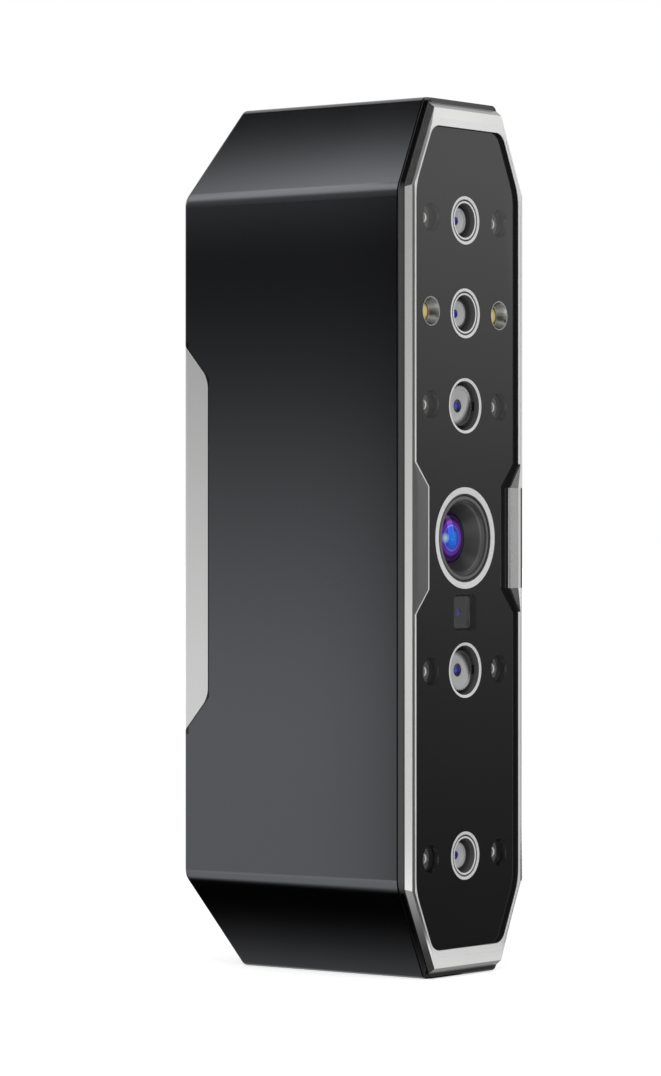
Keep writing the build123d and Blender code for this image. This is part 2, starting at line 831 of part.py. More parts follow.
def make_lamp_board():
    """Board that carries the lamps and the sensor, open around every lens."""
    body = slab(outline(skirt_in + lug_gap), lamp_board_y, lamp_board_back_y)
    span = (lamp_board_y - 1, lamp_board_back_y + 1)
    cuts = [rod(c[5] / 2 + bench_clear, *span, 0, c[1]) for c in cameras]
    cuts.append(rod(projector_radius() + bench_clear, *span))
    return body.cut(*cuts)


def make_bench():
    """Stiff plate that holds cameras and projector in line, with posts for the lamp board."""
    body = slab(outline(wall + bench_clear), bench_y, bench_back_y)
    posts = [rod(post_size / 2, lamp_board_back_y, bench_y, x, z) for x, z in post_spots]
    body = union([body] + posts)
    span = (bench_y - 1, bench_back_y + 1)
    cuts = [rod(barrel_body_radius(c[5]) + bench_clear, *span, 0, c[1]) for c in cameras]
    cuts.append(rod(projector_radius() + close_fit, *span))
    spots = holder_screw_spots + projector_screw_spots + spacer_spots + lug_spots
    cuts += [screw_hole(x, z, *span) for x, z in spots]
    return body.cut(*cuts)


def make_holders():
    """Square holders behind the bench, one for each camera barrel."""
    shapes = []
    for camera in cameras:
        z = camera[1]
        body = block(0, z, holder_width, holder_height, bench_back_y, camera_board_y)
        bore = barrel_body_radius(camera[5]) + close_fit
        cuts = [rod(bore, bench_back_y - 1, camera_board_y + 1, 0, z)]
        cuts.append(block(0, z, holder_chamber, holder_chamber, camera_board_y - holder_chamber_depth,
                          camera_board_y + 1))
        deep = bench_back_y + screw_bite + fit
        cuts += [screw_hole(s * holder_screw_offset, z, bench_back_y - 1, deep) for s in (-1, 1)]
        shapes.append(body.cut(*cuts))
    return group(shapes)


def make_camera_boards():
    """Camera boards with their image chip in front and cable plug behind."""
    shapes = []
    for camera in cameras:
        z = camera[1]
        body = block(0, z, camera_board_size, camera_board_size, camera_board_y, camera_board_back_y)
        body += block(0, z, camera_chip, camera_chip, camera_board_y - camera_chip_height, camera_board_y)
        body += block(0, z, plug_width, plug_height, camera_board_back_y, camera_board_back_y + plug_depth)
        shapes.append(body)
    return group(shapes)


def cable(z_from, y_from, z_to, y_to):
    """Flat cable in an easy S between two plugs."""
    run = ((y_from, z_from), (y_from + cable_lead, z_from), (y_to - cable_lead, z_to), (y_to, z_to))
    half = cable_thickness / 2
    points = [(y, z + half + middle) for y, z in run] + [(y, z - half + middle) for y, z in reversed(run)]
    return side_prism(Polygon(*points), -cable_width / 2, cable_width / 2)


def cable_end(z):
    """Height at which a camera cable meets the main board."""
    return z - math.copysign(cable_drop, z)


def make_cables():
    """Flat cables from the camera boards to the main board."""
    start = camera_board_back_y + plug_depth
    return group(cable(c[1], start, cable_end(c[1]), main_y - plug_depth) for c in cameras)


def make_main_board():
    """Main board with its processor and the cable plugs."""
    body = slab(outline(main_board_inset, main_board_inset, main_board_end), main_y, main_back_y)
    plugs = [block(0, cable_end(c[1]), plug_width, plug_height, main_y - plug_depth, main_y) for c in cameras]
    chip = block(0, chip_z, chip_size, chip_size, main_back_y, chip_back_y)
    body = union([body, chip] + plugs)
    return body.cut(*[screw_hole(x, z, main_y - 1, main_back_y + 1) for x, z in spacer_spots])


def make_spacers():
    """Hexagonal spacers between the bench and the main board."""
    shapes = []
    for x, z in spacer_spots:
        body = slab(Pos(x, z) * RegularPolygon(spacer_size / 2, 6), bench_back_y, main_y)
        shapes.append(body - screw_hole(x, z, bench_back_y - 1, main_y + 1))
    return group(shapes)


def make_thermal_pad():
    """Soft pad between the processor and the heat spreader."""
    return block(0, chip_z, chip_size, chip_size, chip_back_y, pad_back_y)


def make_heat_spreader():
    """Metal plate that carries the processor's heat away."""
    return block(0, chip_z, spreader_width, spreader_height, pad_back_y, pad_back_y + spreader_thickness)


def make_socket():
    """USB-C socket: metal shell and the tongue inside."""
    shell = SlotOverall(socket_width, socket_height)
    hollow = SlotOverall(socket_width - 2 * socket_skin, socket_height - 2 * socket_skin)
    body = extrude(shell, amount=socket_length) - extrude(hollow, amount=socket_length - socket_skin)
    reach = socket_length - socket_skin - tongue_recess
    tongue = Pos(0, 0, tongue_recess) * extrude(Rectangle(tongue_width, tongue_thickness), amount=reach)
    place = Pos(0, socket_y, socket_recess)
    return group([place * body, place * tongue])


def make_tripod_insert():
    """Metal insert with the tripod thread's bore."""
    body = extrude(Circle(tripod_insert_size / 2), amount=tripod_insert_length)
    body -= extrude(Circle(tripod_bore / 2), amount=tripod_bore_depth)
    return Pos(0, tripod_y, tripod_recess) * body


def make_rear_cover(trim_room):
    """Folded rear cover with vents, holes for the buttons and posts for their board."""
    body = slab(outline(wall + fit), house_y, back_y)
    body &= rear_profile(cover_recess) - rear_profile(cover_recess + cover_thickness)
    body -= trim_room
    posts = [rod(button_post_size / 2, button_board_y, cover_in_y + fit, 0, s * button_post_z) for s in (-1, 1)]
    body = union([body] + posts)
    deep = (cover_in_y - 1, cover_y + 1)
    cuts = [rod(size / 2 + flange_reach + flange_room, *deep, 0, z) for name, z, size in button_places]
    cuts += [rod(status_size / 2 + running_fit, *deep, x, z) for x, z in status_spots]
    cuts += [screw_hole(0, s * button_post_z, button_board_y - 1, cover_in_y) for s in (-1, 1)]
    for x, z in cover_screw_spots:
        cuts.append(screw_hole(x, z, *deep))
        cuts.append(rod(screw_head / 2 + fit, cover_y - screw_head_height - fit, cover_y + 1, x, z))
    for s in (-1, 1):
        for i in range(vents):
            place = Pos(0, s * (vent_z + (i - (vents - 1) / 2) * vent_pitch))
            cuts.append(slab(place * SlotOverall(vent_length, vent_width), *deep))
    return body.cut(*cuts)


def make_trim(envelope):
    """Silver rear trim: plate on the back that wraps onto both sides."""
    body = envelope & trim_region(0)
    return body - slab(panel_shape(fit), back_y - 2 * trim_thickness, back_y + 1)


def make_panel():
    """Black control panel in the trim with holes for buttons and status lights."""
    body = slab(panel_shape(0), panel_in_y, panel_y)
    span = (panel_in_y - 1, panel_y + 1)
    cuts = [rod(size / 2 + running_fit, *span, 0, z) for name, z, size in button_places]
    cuts += [rod(status_size / 2 + running_fit, *span, x, z) for x, z in status_spots]
    return body.cut(*cuts)


def make_button(z, size):
    """Push button: dished cap, flange behind the panel and a plunger to its switch."""
    radius = size / 2
    flange = radius + flange_reach
    flange_y = flange_in_y + flange_thickness
    plunger = plunger_size / 2
    end = stem_top_y + contact_gap
    flat = radius - 2 * button_edge
    dish = ThreePointArc((0, button_y - button_dish), (flat * 0.6, button_y - button_dish * 0.64), (flat, button_y))
    rest = Polyline(
        (flat, button_y), (radius - button_edge, button_y), (radius, button_y - button_edge), (radius, flange_y),
        (flange, flange_y), (flange, flange_in_y), (plunger, flange_in_y), (plunger, end), (0, end),
        (0, button_y - button_dish),
    )
    return Pos(0, 0, z + middle) * revolve(make_face(dish.edges() + rest.edges()), Axis.Y)


def make_stem(z):
    """Moving stem of a switch."""
    low = button_board_y + switch_floor + button_travel + fit
    return rod(switch_stem / 2, low, stem_top_y, 0, z)


def make_switches():
    """Fixed bodies of the three switches."""
    top = button_board_y + switch_height
    shapes = []
    for name, z, size in button_places:
        body = block(0, z, switch_size, switch_size, button_board_y, top)
        shapes.append(body - rod(switch_stem / 2 + running_fit, button_board_y + switch_floor, top + 1, 0, z))
    return group(shapes)


def make_button_board():
    """Board that carries the switches and status lamps."""
    wide = 2 * (panel_half_width + button_board_margin)
    high = 2 * (status_z + button_board_end)
    body = block(0, 0, wide, high, button_board_front_y, button_board_y)
    lamps = [block(x, z, status_size, status_size, button_board_y, button_board_y + status_lamp_height)
             for x, z in status_spots]
    body = union([body] + lamps)
    holes = [screw_hole(0, s * button_post_z, button_board_front_y - 1, button_board_y + 1) for s in (-1, 1)]
    return body.cut(*holes)


def make_light_pipes():
    """Clear pipes from the status lamps to the panel face."""
    low = button_board_y + status_lamp_height
    return group(rod(status_size / 2, low, panel_y, x, z) for x, z in status_spots)


def make_cover_screws():
    """Screws that hold the rear cover."""
    seat = cover_y - screw_head_height - fit
    return group(screw(x, z, seat, 1) for x, z in cover_screw_spots)


def make_inner_screws():
    """Screws of the bench, cameras, projector, spacers and boards."""
    shapes = [screw(x, z, bench_y, -1) for x, z in holder_screw_spots + projector_screw_spots + spacer_spots]
    shapes += [screw(x, z, bench_back_y, 1) for x, z in lug_spots]
    shapes += [screw(x, z, main_back_y, 1) for x, z in spacer_spots]
    shapes += [screw(0, s * button_post_z, button_board_front_y, -1) for s in (-1, 1)]
    return group(shapes)


envelope = make_envelope()
trim_room = trim_region(seam)
nodes = {
    "housing_shell": make_housing(envelope, trim_room),
    "groove_ring": make_groove_ring(),
    "front_frame": make_frame(),
    "front_bezel": make_bezel(),
    "front_window": make_window(),
    "window_seal": make_window_seal(),
    "light_baffle": make_baffle(),
    "projector_ring": make_ring(projector_ring, projector_ring_band, False),
    "projector_barrel": make_projector_barrel(),
    "projector_lens": make_projector_lens(),
    "projector_housing": make_projector_housing(),
    "projector_heat_sink": make_heat_sink(),
    "lamp_windows": make_lamp_windows(),
    "sensor_window": make_sensor_window(),
    "sensor_core": make_sensor_frame(),
    "sensor_lens": make_sensor_lens(),
    "infrared_lamps": make_infrared_lamps(),
    "white_lamps": make_white_lamps(),
    "reflector_cups": make_cups(),
    "lamp_board": make_lamp_board(),
    "optical_bench": make_bench(),
    "lens_holders": make_holders(),
    "camera_boards": make_camera_boards(),
    "flat_cables": make_cables(),
    "main_board": make_main_board(),
    "board_spacers": make_spacers(),
    "thermal_pad": make_thermal_pad(),
    "heat_spreader": make_heat_spreader(),
    "usb_socket": make_socket(),
    "tripod_insert": make_tripod_insert(),
    "rear_cover": make_rear_cover(trim_room),
    "rear_trim": make_trim(envelope),
    "control_panel": make_panel(),
    "switch_bodies": make_switches(),
    "button_board": make_button_board(),
    "status_light_pipes": make_light_pipes(),
    "rear_cover_screws": make_cover_screws(),
    "inner_screws": make_inner_screws(),
}
for name, z, ring, band, doubled, barrel, lens, recess in cameras:
    nodes[name + "_lens_ring"] = make_ring(ring, band, doubled, 0, z)
    nodes[name + "_lens_barrel"] = make_barrel(z, barrel, lens, recess)
    nodes[name + "_lens"] = make_lens(z, lens, recess)
for name, z, size in button_places:
    nodes[name + "_button"] = make_button(z, size)
    nodes[name + "_switch_stem"] = make_stem(z)

for name, shape in nodes.items():
    shape.label = name
    export_step(shape, "parts/" + name + ".step")
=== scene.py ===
import math
import bmesh
import bpy
import numpy as np
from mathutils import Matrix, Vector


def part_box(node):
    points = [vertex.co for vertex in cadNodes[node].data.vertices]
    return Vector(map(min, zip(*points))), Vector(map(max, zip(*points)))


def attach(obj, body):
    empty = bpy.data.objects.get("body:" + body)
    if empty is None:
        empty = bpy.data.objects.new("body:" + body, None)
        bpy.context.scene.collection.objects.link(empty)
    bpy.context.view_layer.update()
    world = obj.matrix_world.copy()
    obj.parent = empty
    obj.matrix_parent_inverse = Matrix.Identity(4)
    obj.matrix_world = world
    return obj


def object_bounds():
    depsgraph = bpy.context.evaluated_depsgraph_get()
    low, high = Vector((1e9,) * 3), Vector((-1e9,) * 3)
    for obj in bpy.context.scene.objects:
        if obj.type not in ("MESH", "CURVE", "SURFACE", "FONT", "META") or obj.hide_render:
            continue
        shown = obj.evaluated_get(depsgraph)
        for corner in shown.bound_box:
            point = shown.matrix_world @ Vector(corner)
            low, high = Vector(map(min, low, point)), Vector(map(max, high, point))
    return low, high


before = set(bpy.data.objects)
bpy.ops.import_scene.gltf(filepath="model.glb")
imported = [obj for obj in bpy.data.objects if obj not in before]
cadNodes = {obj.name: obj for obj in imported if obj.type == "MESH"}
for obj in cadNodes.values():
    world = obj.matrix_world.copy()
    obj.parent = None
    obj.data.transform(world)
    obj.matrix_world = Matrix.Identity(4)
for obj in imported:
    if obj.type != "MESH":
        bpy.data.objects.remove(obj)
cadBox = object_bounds()
scene = bpy.context.scene
scene.view_settings.view_transform = "Standard"
print("frame loaded:", len(cadNodes), "nodes")

mm = 0.001


# middle of a CAD node's box
def midOf(node):
    low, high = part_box(node)
    return (low + high) / 2


cameraNames = ("upper_outer", "colour", "upper_inner", "lower_inner", "lower_outer")
# how far a lamp's axis lies inside the lamps' box, and the lip's front before the bezel's back
inset = dict(lampAxis=1.6 * mm, lip=1.62 * mm)
# where things sit on the scanner, in metres, read from the CAD nodes
layout = dict(
    middle=cadBox[1].z / 2,
    half=cadBox[1].x,
    cameras={name: midOf(name + "_lens").z for name in cameraNames},
    lampColumn=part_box("infrared_lamps")[1].x - inset["lampAxis"],
    whiteLamps=midOf("white_lamps").z,
    sensor=midOf("sensor_lens").z,
    houseFront=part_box("housing_shell")[0].y,
    lipFront=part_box("front_bezel")[1].y - inset["lip"],
    tabFront=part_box("rear_trim")[0].y,
    ringFront=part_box("projector_ring")[0].y,
)
layout["outerLamps"] = layout["cameras"]["upper_outer"] - layout["middle"]
layout["innerLamps"] = layout["cameras"]["upper_inner"] - layout["middle"]


# a socket inside an expression: each operator adds one Math node to the same tree
class Wire:
    def __init__(self, finish, socket):
        self.finish = finish
        self.socket = socket

    def maths(self, operation, first, second=0.0):
        return self.finish.node("ShaderNodeMath", dict(operation=operation), {0: first, 1: second})

    def __add__(self, other):
        return self.maths("ADD", self, other)

    def __radd__(self, other):
        return self.maths("ADD", other, self)

    def __sub__(self, other):
        return self.maths("SUBTRACT", self, other)

    def __rsub__(self, other):
        return self.maths("SUBTRACT", other, self)

    def __mul__(self, other):
        return self.maths("MULTIPLY", self, other)

    def __rmul__(self, other):
        return self.maths("MULTIPLY", other, self)

    def __truediv__(self, other):
        return self.maths("DIVIDE", self, other)

    def __pow__(self, other):
        return self.maths("POWER", self, other)

    def __lt__(self, other):
        return self.maths("LESS_THAN", self, other)

    def __gt__(self, other):
        return self.maths("GREATER_THAN", self, other)

    def __abs__(self):
        return self.maths("ABSOLUTE", self)

    def least(self, other):
        return self.maths("MINIMUM", self, other)

    def most(self, other):
        return self.maths("MAXIMUM", self, other)

    def sine(self):
        return self.maths("SINE", self)


# one node tree: node() adds any node by its type, sets its settings first, then its sockets
class Finish:
    def __init__(self, name, owner=None):
        self.owner = owner or bpy.data.materials.new(name)
        self.owner.use_nodes = True
        self.tree = self.owner.node_tree
        self.tree.nodes.clear()

    def node(self, kind, settings=None, sockets=None, out=0):
        made = self.tree.nodes.new(kind)
        for key, value in (settings or {}).items():
            if key == "stops":
                self.setStops(made.color_ramp, value)
            else:
                setattr(made, key, value)
        for key, value in (sockets or {}).items():
            if isinstance(value, Wire):
                self.tree.links.new(value.socket, made.inputs[key])
            else:
                made.inputs[key].default_value = value
        return Wire(self, made.outputs[out]) if len(made.outputs) else made

    # stops are pairs of a place and a colour
    def setStops(self, ramp, stops):
        while len(ramp.elements) < len(stops):
            ramp.elements.new(0.5)
        for element, (place, colour) in zip(ramp.elements, stops):
            element.position = place
            element.color = colour

    # the point on the surface, in metres from the given place
    def point(self, place=(0, 0, 0)):
        spot = self.node("ShaderNodeTexCoord", out="Object")
        if any(place):
            sockets = {"Vector": spot, "Location": [-value for value in place]}
            spot = self.node("ShaderNodeMapping", None, sockets)
        return spot

    # the point's three numbers
    def parts(self, spot):
        return [self.node("ShaderNodeSeparateXYZ", None, {0: spot}, out=index) for index in range(3)]

    # soft noise whose lumps are about size metres across
    def noise(self, size, detail, stretch=None):
        spot = self.point()
        if stretch:
            spot = self.node("ShaderNodeMapping", None, {"Vector": spot, "Scale": stretch})
        return self.node("ShaderNodeTexNoise", None, {"Vector": spot, "Scale": 1 / size, "Detail": detail})

    # two colours mixed by a factor
    def mix(self, factor, first, second, way="MIX"):
        settings = dict(data_type="RGBA", blend_type=way)
        return self.node("ShaderNodeMix", settings, {0: factor, 6: first, 7: second}, out=2)

    # colour read from stops along a value
    def ramp(self, value, stops):
        return self.node("ShaderNodeValToRGB", dict(stops=stops), {0: value})

    # a height in metres pushes the normal
    def bump(self, height, depth, strength, normal=None):
        sockets = {"Height": height, "Distance": depth, "Strength": strength}
        if normal:
            sockets["Normal"] = normal
        return self.node("ShaderNodeBump", None, sockets)

    # normals rounded over edges by a small radius
    def softEdge(self, radius):
        return self.node("ShaderNodeBevel", dict(samples=6), {"Radius": radius})

    # the surface shader and the output
    def surface(self, **sockets):
        names = dict(
            colour="Base Color", rough="Roughness", metal="Metallic", normal="Normal", ior="IOR",
            gloss="Specular IOR Level", tint="Specular Tint", clear="Transmission Weight",
            coat="Coat Weight", coatRough="Coat Roughness", glow="Emission Color",
            glowStrength="Emission Strength", under="Subsurface Weight", underScale="Subsurface Scale")
        values = {names[key]: value for key, value in sockets.items()}
        shader = self.node("ShaderNodeBsdfPrincipled", None, values)
        self.node("ShaderNodeOutputMaterial", None, {"Surface": shader})
        return self.owner


# an even grey
def grey(value):
    return (value, value, value, 1)


# a colour times a share
def dimmed(tone, share):
    return [value * share for value in tone[:3]] + [1]


# stops of grey from pairs of place and value
def greyStops(stops):
    return [(place, grey(value)) for place, value in stops]


# distance over two legs: the root of the sum of their squares
def apart(first, second):
    return (first * first + second * second) ** 0.5


# lathe lines: a sine of the distance from the axis, raised to lie between 0 and 1
def latheLines(radius, pitch):
    return (radius * (2 * math.pi / pitch)).sine() * 0.5 + 0.5


# satin paint: near-black, broad cloudy drift in colour and gloss, fine grain as bump
def satinPaint(name, dark, pale, rough, grain, depth, gloss, ior, tint):
    finish = Finish(name)
    cloud = finish.noise(0.03, 3)
    speck = finish.noise(grain, 1)
    return finish.surface(
        colour=finish.mix(cloud, dark, pale), gloss=gloss, ior=ior, tint=tint,
        rough=rough + 0.03 * (cloud - 0.5) + 0.03 * (speck - 0.5), normal=finish.bump(speck, depth, 0.6))


# frame paint: the same paint, its front leaning outwards: the height falls with the distance from an octagon
def framePaint(name, dark, pale, rough, grain, depth, gloss, edge, lean, slant):
    finish = Finish(name)
    x, y, z = finish.parts(finish.point((0, 0, layout["middle"])))
    across, upward = abs(x) - layout["half"], abs(z) - layout["middle"]
    slanted = across * slant["x"] + upward * slant["z"] + slant["reach"]
    outwards = across.most(upward).most(slanted)
    cloud = finish.noise(0.03, 3)
    speck = finish.noise(grain, 1)
    front = finish.bump(outwards * -1.0, lean, 1.0, finish.softEdge(edge))
    return finish.surface(
        colour=finish.mix(cloud, dark, pale), rough=rough + 0.03 * (cloud - 0.5), gloss=gloss,
        normal=finish.bump(speck, depth, 0.6, front))


# satin silver: bead-blasted metal, bright, fine even grain and faint cloudy gloss
def satinSilver(name, tone, rough, grain, depth):
    finish = Finish(name)
    cloud = finish.noise(0.02, 3)
    speck = finish.noise(grain, 2)
    return finish.surface(
        colour=finish.mix(cloud, tone, dimmed(tone, 0.93)), metal=1.0,
        rough=rough + 0.08 * (cloud - 0.5) + 0.06 * (speck - 0.5), normal=finish.bump(speck, depth, 0.6))


# trim silver: the same metal, black on its sides past the tab's outline, with a thin painted shadow line just
# inside that outline: the distances past its front edge and past its slanted edge, both set in by the rounding,
# are two legs, which makes a round corner
def trimSilver(name, tone, rough, grain, depth, metal, tab):
    finish = Finish(name)
    x, y, z = finish.parts(finish.point((0, layout["tabFront"], layout["middle"])))
    cloud = finish.noise(0.02, 3)
    speck = finish.noise(grain, 2)
    front = (tab["round"] - y).most(0.0)
    slant = ((abs(z) - tab["half"] - y * tab["slope"]) * tab["share"] + tab["round"]).most(0.0)
    # black past the rounded outline, and a thin painted shadow line just inside it
    black = (abs(x) > tab["side"]) * (apart(front, slant) > tab["round"] - tab["line"])
    silver = finish.mix(cloud, tone, dimmed(tone, 0.93))
    return finish.surface(
        colour=finish.mix(black, silver, grey(tab["black"])), metal=metal * (1.0 - black),
        rough=rough + 0.08 * (cloud - 0.5) + 0.06 * (speck - 0.5) - 0.2 * black,
        normal=finish.bump(speck, depth, 0.6))


# bezel silver: the same metal, with light and shade painted by place
# wall, painted shade in black: inside an octagon, deep or level with the steps, and not on a step
# lip, a painted highlight, pale and matt: the rest inside the octagon, above and below the steps
# left step: a painted highlight on its brink; right step: a painted shadow line along its outer edge, a flank
# with a painted highlight on top and painted grey shade at its foot, and ends whose normals lean up and down
def bezelSilver(name, tone, rough, grain, depth, edge, paintedLight, inner, step):
    finish = Finish(name)
    x, y, z = finish.parts(finish.point((0, layout["lipFront"], layout["middle"])))
    cloud = finish.noise(0.02, 3)
    speck = finish.noise(grain, 2)
    across, upward, right = abs(x), abs(z), x > 0.0
    slant = across * inner["slantX"] + upward * inner["slantZ"] - inner["slantReach"]
    inside = (across - inner["side"]).most(slant).most(upward - inner["end"]) < 0.0
    onStep = (across > step["edge"]) * (upward < (across - step["edge"]) * step["flare"] + step["half"])
    rim = right * (upward > ((across - step["rim"]) * step["rimFlare"]).most(0.0) + step["half"])
    onStep = onStep * (1.0 - rim)
    # the wall: painted shade, black
    wall = inside * (y > inner["depth"]).most(upward < step["reach"]) * (1.0 - onStep)
    past = (across > step["highlightBrink"]) * (upward < (across - step["highlightBrink"]) * step["flare"] + step["half"])
    highlightBrink = (x < 0.0) * onStep * (1.0 - past) * inside
    # the lip and the left step's brink: painted highlight, pale and matt
    lip = (inside * (1.0 - wall) * (upward > step["reach"])).most(highlightBrink)
    flank = wall * right * (upward < step["half"])
    # the right step's flank: painted highlight on top, painted grey shade at its foot
    top, foot = flank * (y < step["flankTop"]), flank * (y > step["flankFoot"])
    # a painted shadow line along the right step's outer edge
    line = right * (across > step["out"]) * (across < step["lineOut"]) * (upward < step["half"])
    wall, lip = (wall - top).most(line), lip.most(top)
    end = onStep * right * (upward > step["half"]) * (across < step["out"]) * (upward < step["reach"])
    lean = finish.node("ShaderNodeCombineXYZ", None, {2: end * ((z > 0.0) * 2.0 - 1.0) * step["lean"]})
    leant = finish.node("ShaderNodeVectorMath", dict(operation="ADD"), {0: finish.softEdge(edge), 1: lean})
    normal = finish.node("ShaderNodeVectorMath", dict(operation="NORMALIZE"), {0: leant})
    silver = finish.mix(cloud, tone, dimmed(tone, 0.95))
    silverAndHighlight = finish.mix(lip, silver, grey(paintedLight["lip"]))
    black = finish.mix(foot, grey(paintedLight["wall"]), grey(paintedLight["foot"]))
    return finish.surface(
        colour=finish.mix(wall, silverAndHighlight, black), metal=1.0 - wall - 0.85 * lip,
        rough=rough + 0.04 * (cloud - 0.5) + 0.03 * (speck - 0.5) + 0.35 * wall,
        normal=finish.bump(speck, depth, 0.6, normal))


# turned metal: lathe lines round an axis through the given place, along y, or along z where it is upright
def turnedMetal(name, place, tone, rough, pitch, depth, upright=False):
    finish = Finish(name)
    x, y, z = finish.parts(finish.point(place))
    lathe = latheLines(apart(x, y if upright else z), pitch)
    cloud = finish.noise(0.004, 2)
    return finish.surface(
        colour=finish.mix(cloud, tone, dimmed(tone, 0.9)), metal=1.0,
        rough=rough + 0.08 * (cloud - 0.5) + 0.04 * (lathe - 0.5), normal=finish.bump(lathe, depth, 0.5))


# funnel metal: turned metal, its tone read from stops along the distance from an axis; where that axis is
# set aside from the middle, a painted shadow lies on one side
def funnelMetal(name, height, reach, stops, rough, pitch, depth, metal, aside=(0.0, 0.0)):
    finish = Finish(name)
    x, y, z = finish.parts(finish.point((0, 0, height)))
    lathe = latheLines(apart(x, z), pitch)
    shade = apart(x - aside[0], z - aside[1]) / reach
    cloud = finish.noise(0.004, 2)
    return finish.surface(
        colour=finish.ramp(shade, greyStops(stops)), metal=metal, rough=rough + 0.06 * (cloud - 0.5),
        normal=finish.bump(lathe, depth, 0.5))


# lens ring: the same lathe lines, silver on the front face, and painted shade where the depth passes the face
# or
# the radius is under the hub: groove and bore
def lensRing(name, height, tone, rough, pitch, depth, metal, edge, face, inside, hub=0.0):
    finish = Finish(name)
    x, y, z = finish.parts(finish.point((0, layout["ringFront"], height)))
    radius = apart(x, z)
    lathe = latheLines(radius, pitch)
    cloud = finish.noise(0.004, 2)
    # painted shade: groove and bore
    bore = (y > face).most(radius < hub)
    silver = finish.mix(cloud, tone, dimmed(tone, 0.92))
    return finish.surface(
        colour=finish.mix(bore, silver, grey(inside)), metal=metal * (1.0 - bore),
        rough=rough + 0.08 * (cloud - 0.5) + 0.04 * (lathe - 0.5) + 0.2 * bore,
        normal=finish.bump(lathe, depth, 0.5, finish.softEdge(edge)))


# black glass: deep black, polished, with very faint smears in the gloss
def blackGlass(name, tone, rough):
    finish = Finish(name)
    smear = finish.noise(0.018, 4, stretch=(1, 1, 0.5))
    return finish.surface(
        colour=finish.mix(smear, tone, dimmed(tone, 1.12)), rough=rough + 0.02 * smear, ior=1.5)


# smoked glass: see-through with a grey cast that drifts with the noise; its coat gives the mirror
def smokedGlass(name, tone):
    finish = Finish(name)
    cloud = finish.noise(0.004, 2)
    return finish.surface(
        colour=finish.mix(cloud, tone, dimmed(tone, 0.94)), rough=0.02 + 0.01 * cloud, clear=1.0, ior=1.02,
        coat=0.9, coatRough=0.02)


# coated lens: colour rings by distance from the axis, smooth: the coating's tint and painted reflections; a
# painted glint fades by distance from a second axis; where glow is set, the lens also glows as painted light
def coatedLens(name, height, reach, stops, metal, lensGlint=None, glow=0.0):
    finish = Finish(name)
    x, y, z = finish.parts(finish.point((0, 0, height)))
    tone = finish.ramp(apart(x, z) / reach, stops)
    if lensGlint:
        spark = 1.0 - (apart(x - lensGlint["aside"], z) / lensGlint["reach"]).least(1.0)
        tone = finish.mix(spark, tone, lensGlint["tone"])
    dust = finish.noise(0.0004, 2)
    return finish.surface(
        colour=tone, metal=metal, rough=0.03 + 0.02 * dust, coat=0.1, coatRough=0.02, glow=tone,
        glowStrength=glow)


# moulded plastic: spark-eroded texture as bump, slight mottling
def mouldedPlastic(name, dark, pale, rough, grain, depth):
    finish = Finish(name)
    sockets = {"Vector": finish.point(), "Scale": 1 / grain, "Smoothness": 0.6}
    speck = finish.node("ShaderNodeTexVoronoi", dict(feature="SMOOTH_F1"), sockets, out="Distance")
    cloud = finish.noise(0.02, 3)
    return finish.surface(
        colour=finish.mix(cloud, dark, pale), rough=rough + 0.1 * (cloud - 0.5),
        normal=finish.bump(speck, depth, 0.6))


boardTracks = dict(scale=180.0, joint=0.035, offset=0.37)


# circuit board: lacquer, with tracks along the joints of a brick pattern that lies in the x-z plane
def circuitBoard(name, lacquer, track):
    finish = Finish(name)
    quarter = (math.pi / 2, 0, 0)
    laid = finish.node("ShaderNodeMapping", None, {"Vector": finish.point(), "Rotation": quarter})
    sockets = {"Vector": laid, "Scale": boardTracks["scale"], "Mortar Size": boardTracks["joint"]}
    joints = finish.node("ShaderNodeTexBrick", dict(offset=boardTracks["offset"]), sockets, out=1)
    cloud = finish.noise(0.01, 3)
    ground = finish.mix(cloud, lacquer, dimmed(lacquer, 0.7))
    return finish.surface(
        colour=finish.mix(joints * 0.7, ground, track), rough=0.32 + 0.1 * cloud,
        normal=finish.bump(joints, 0.00004, 0.5))


# milled metal: straight mill lines along x, from noise drawn out along x, on bright bare metal
def milledMetal(name, tone, rough):
    finish = Finish(name)
    lines = finish.noise(0.0012, 2, stretch=(0.04, 1, 1))
    return finish.surface(
        colour=finish.mix(lines, tone, dimmed(tone, 0.8)), metal=1.0, rough=rough + 0.15 * (lines - 0.5),
        normal=finish.bump(lines, 0.00002, 0.4))


# rubber: dull black with a powdery noise
def rubber(name, tone):
    finish = Finish(name)
    powder = finish.noise(0.0006, 3)
    return finish.surface(
        colour=finish.mix(powder, grey(tone), grey(tone * 1.6)), rough=0.75 + 0.1 * (powder - 0.5), gloss=0.3,
        normal=finish.bump(powder, 0.00001, 0.4))


# baffle black: powdery, with painted light: greyer near the middle line where it rings the lens barrels, palest
# round the sensor
def baffleBlack(name, tone, pale, palest, reach):
    finish = Finish(name)
    x, y, z = finish.parts(finish.point((0, 0, layout["sensor"])))
    powder = finish.noise(0.0006, 3)
    # painted light: paler near the middle line and round the sensor
    near = abs(x) < reach
    ringed = finish.mix(near, grey(tone), grey(pale))
    return finish.surface(
        colour=finish.mix(near * (abs(z) < reach), ringed, grey(palest)), rough=0.7 + 0.1 * powder, gloss=0.3,
        normal=finish.bump(powder, 0.00001, 0.4))


# lamp pattern: distance from the nearest lamp axis, both columns and all heights folded onto one
def lampRadius(finish, heights):
    x, y, z = finish.parts(finish.point((0, 0, layout["middle"])))
    along = abs(z - heights[0])
    for height in heights[1:]:
        along = along.least(abs(z - height))
    return apart(abs(x) - layout["lampColumn"], along)


# how far glue and painted glint reach from the axis, the glint's edge, dome and glue colours, the glint's tone
infraredLampLook = dict(reach=1.15 * mm, flat=-0.1 * mm, dome=grey(0.01), glue=(0.09, 0.06, 0.035, 1),
                   tone=(1.0, 0.98, 0.9, 1))


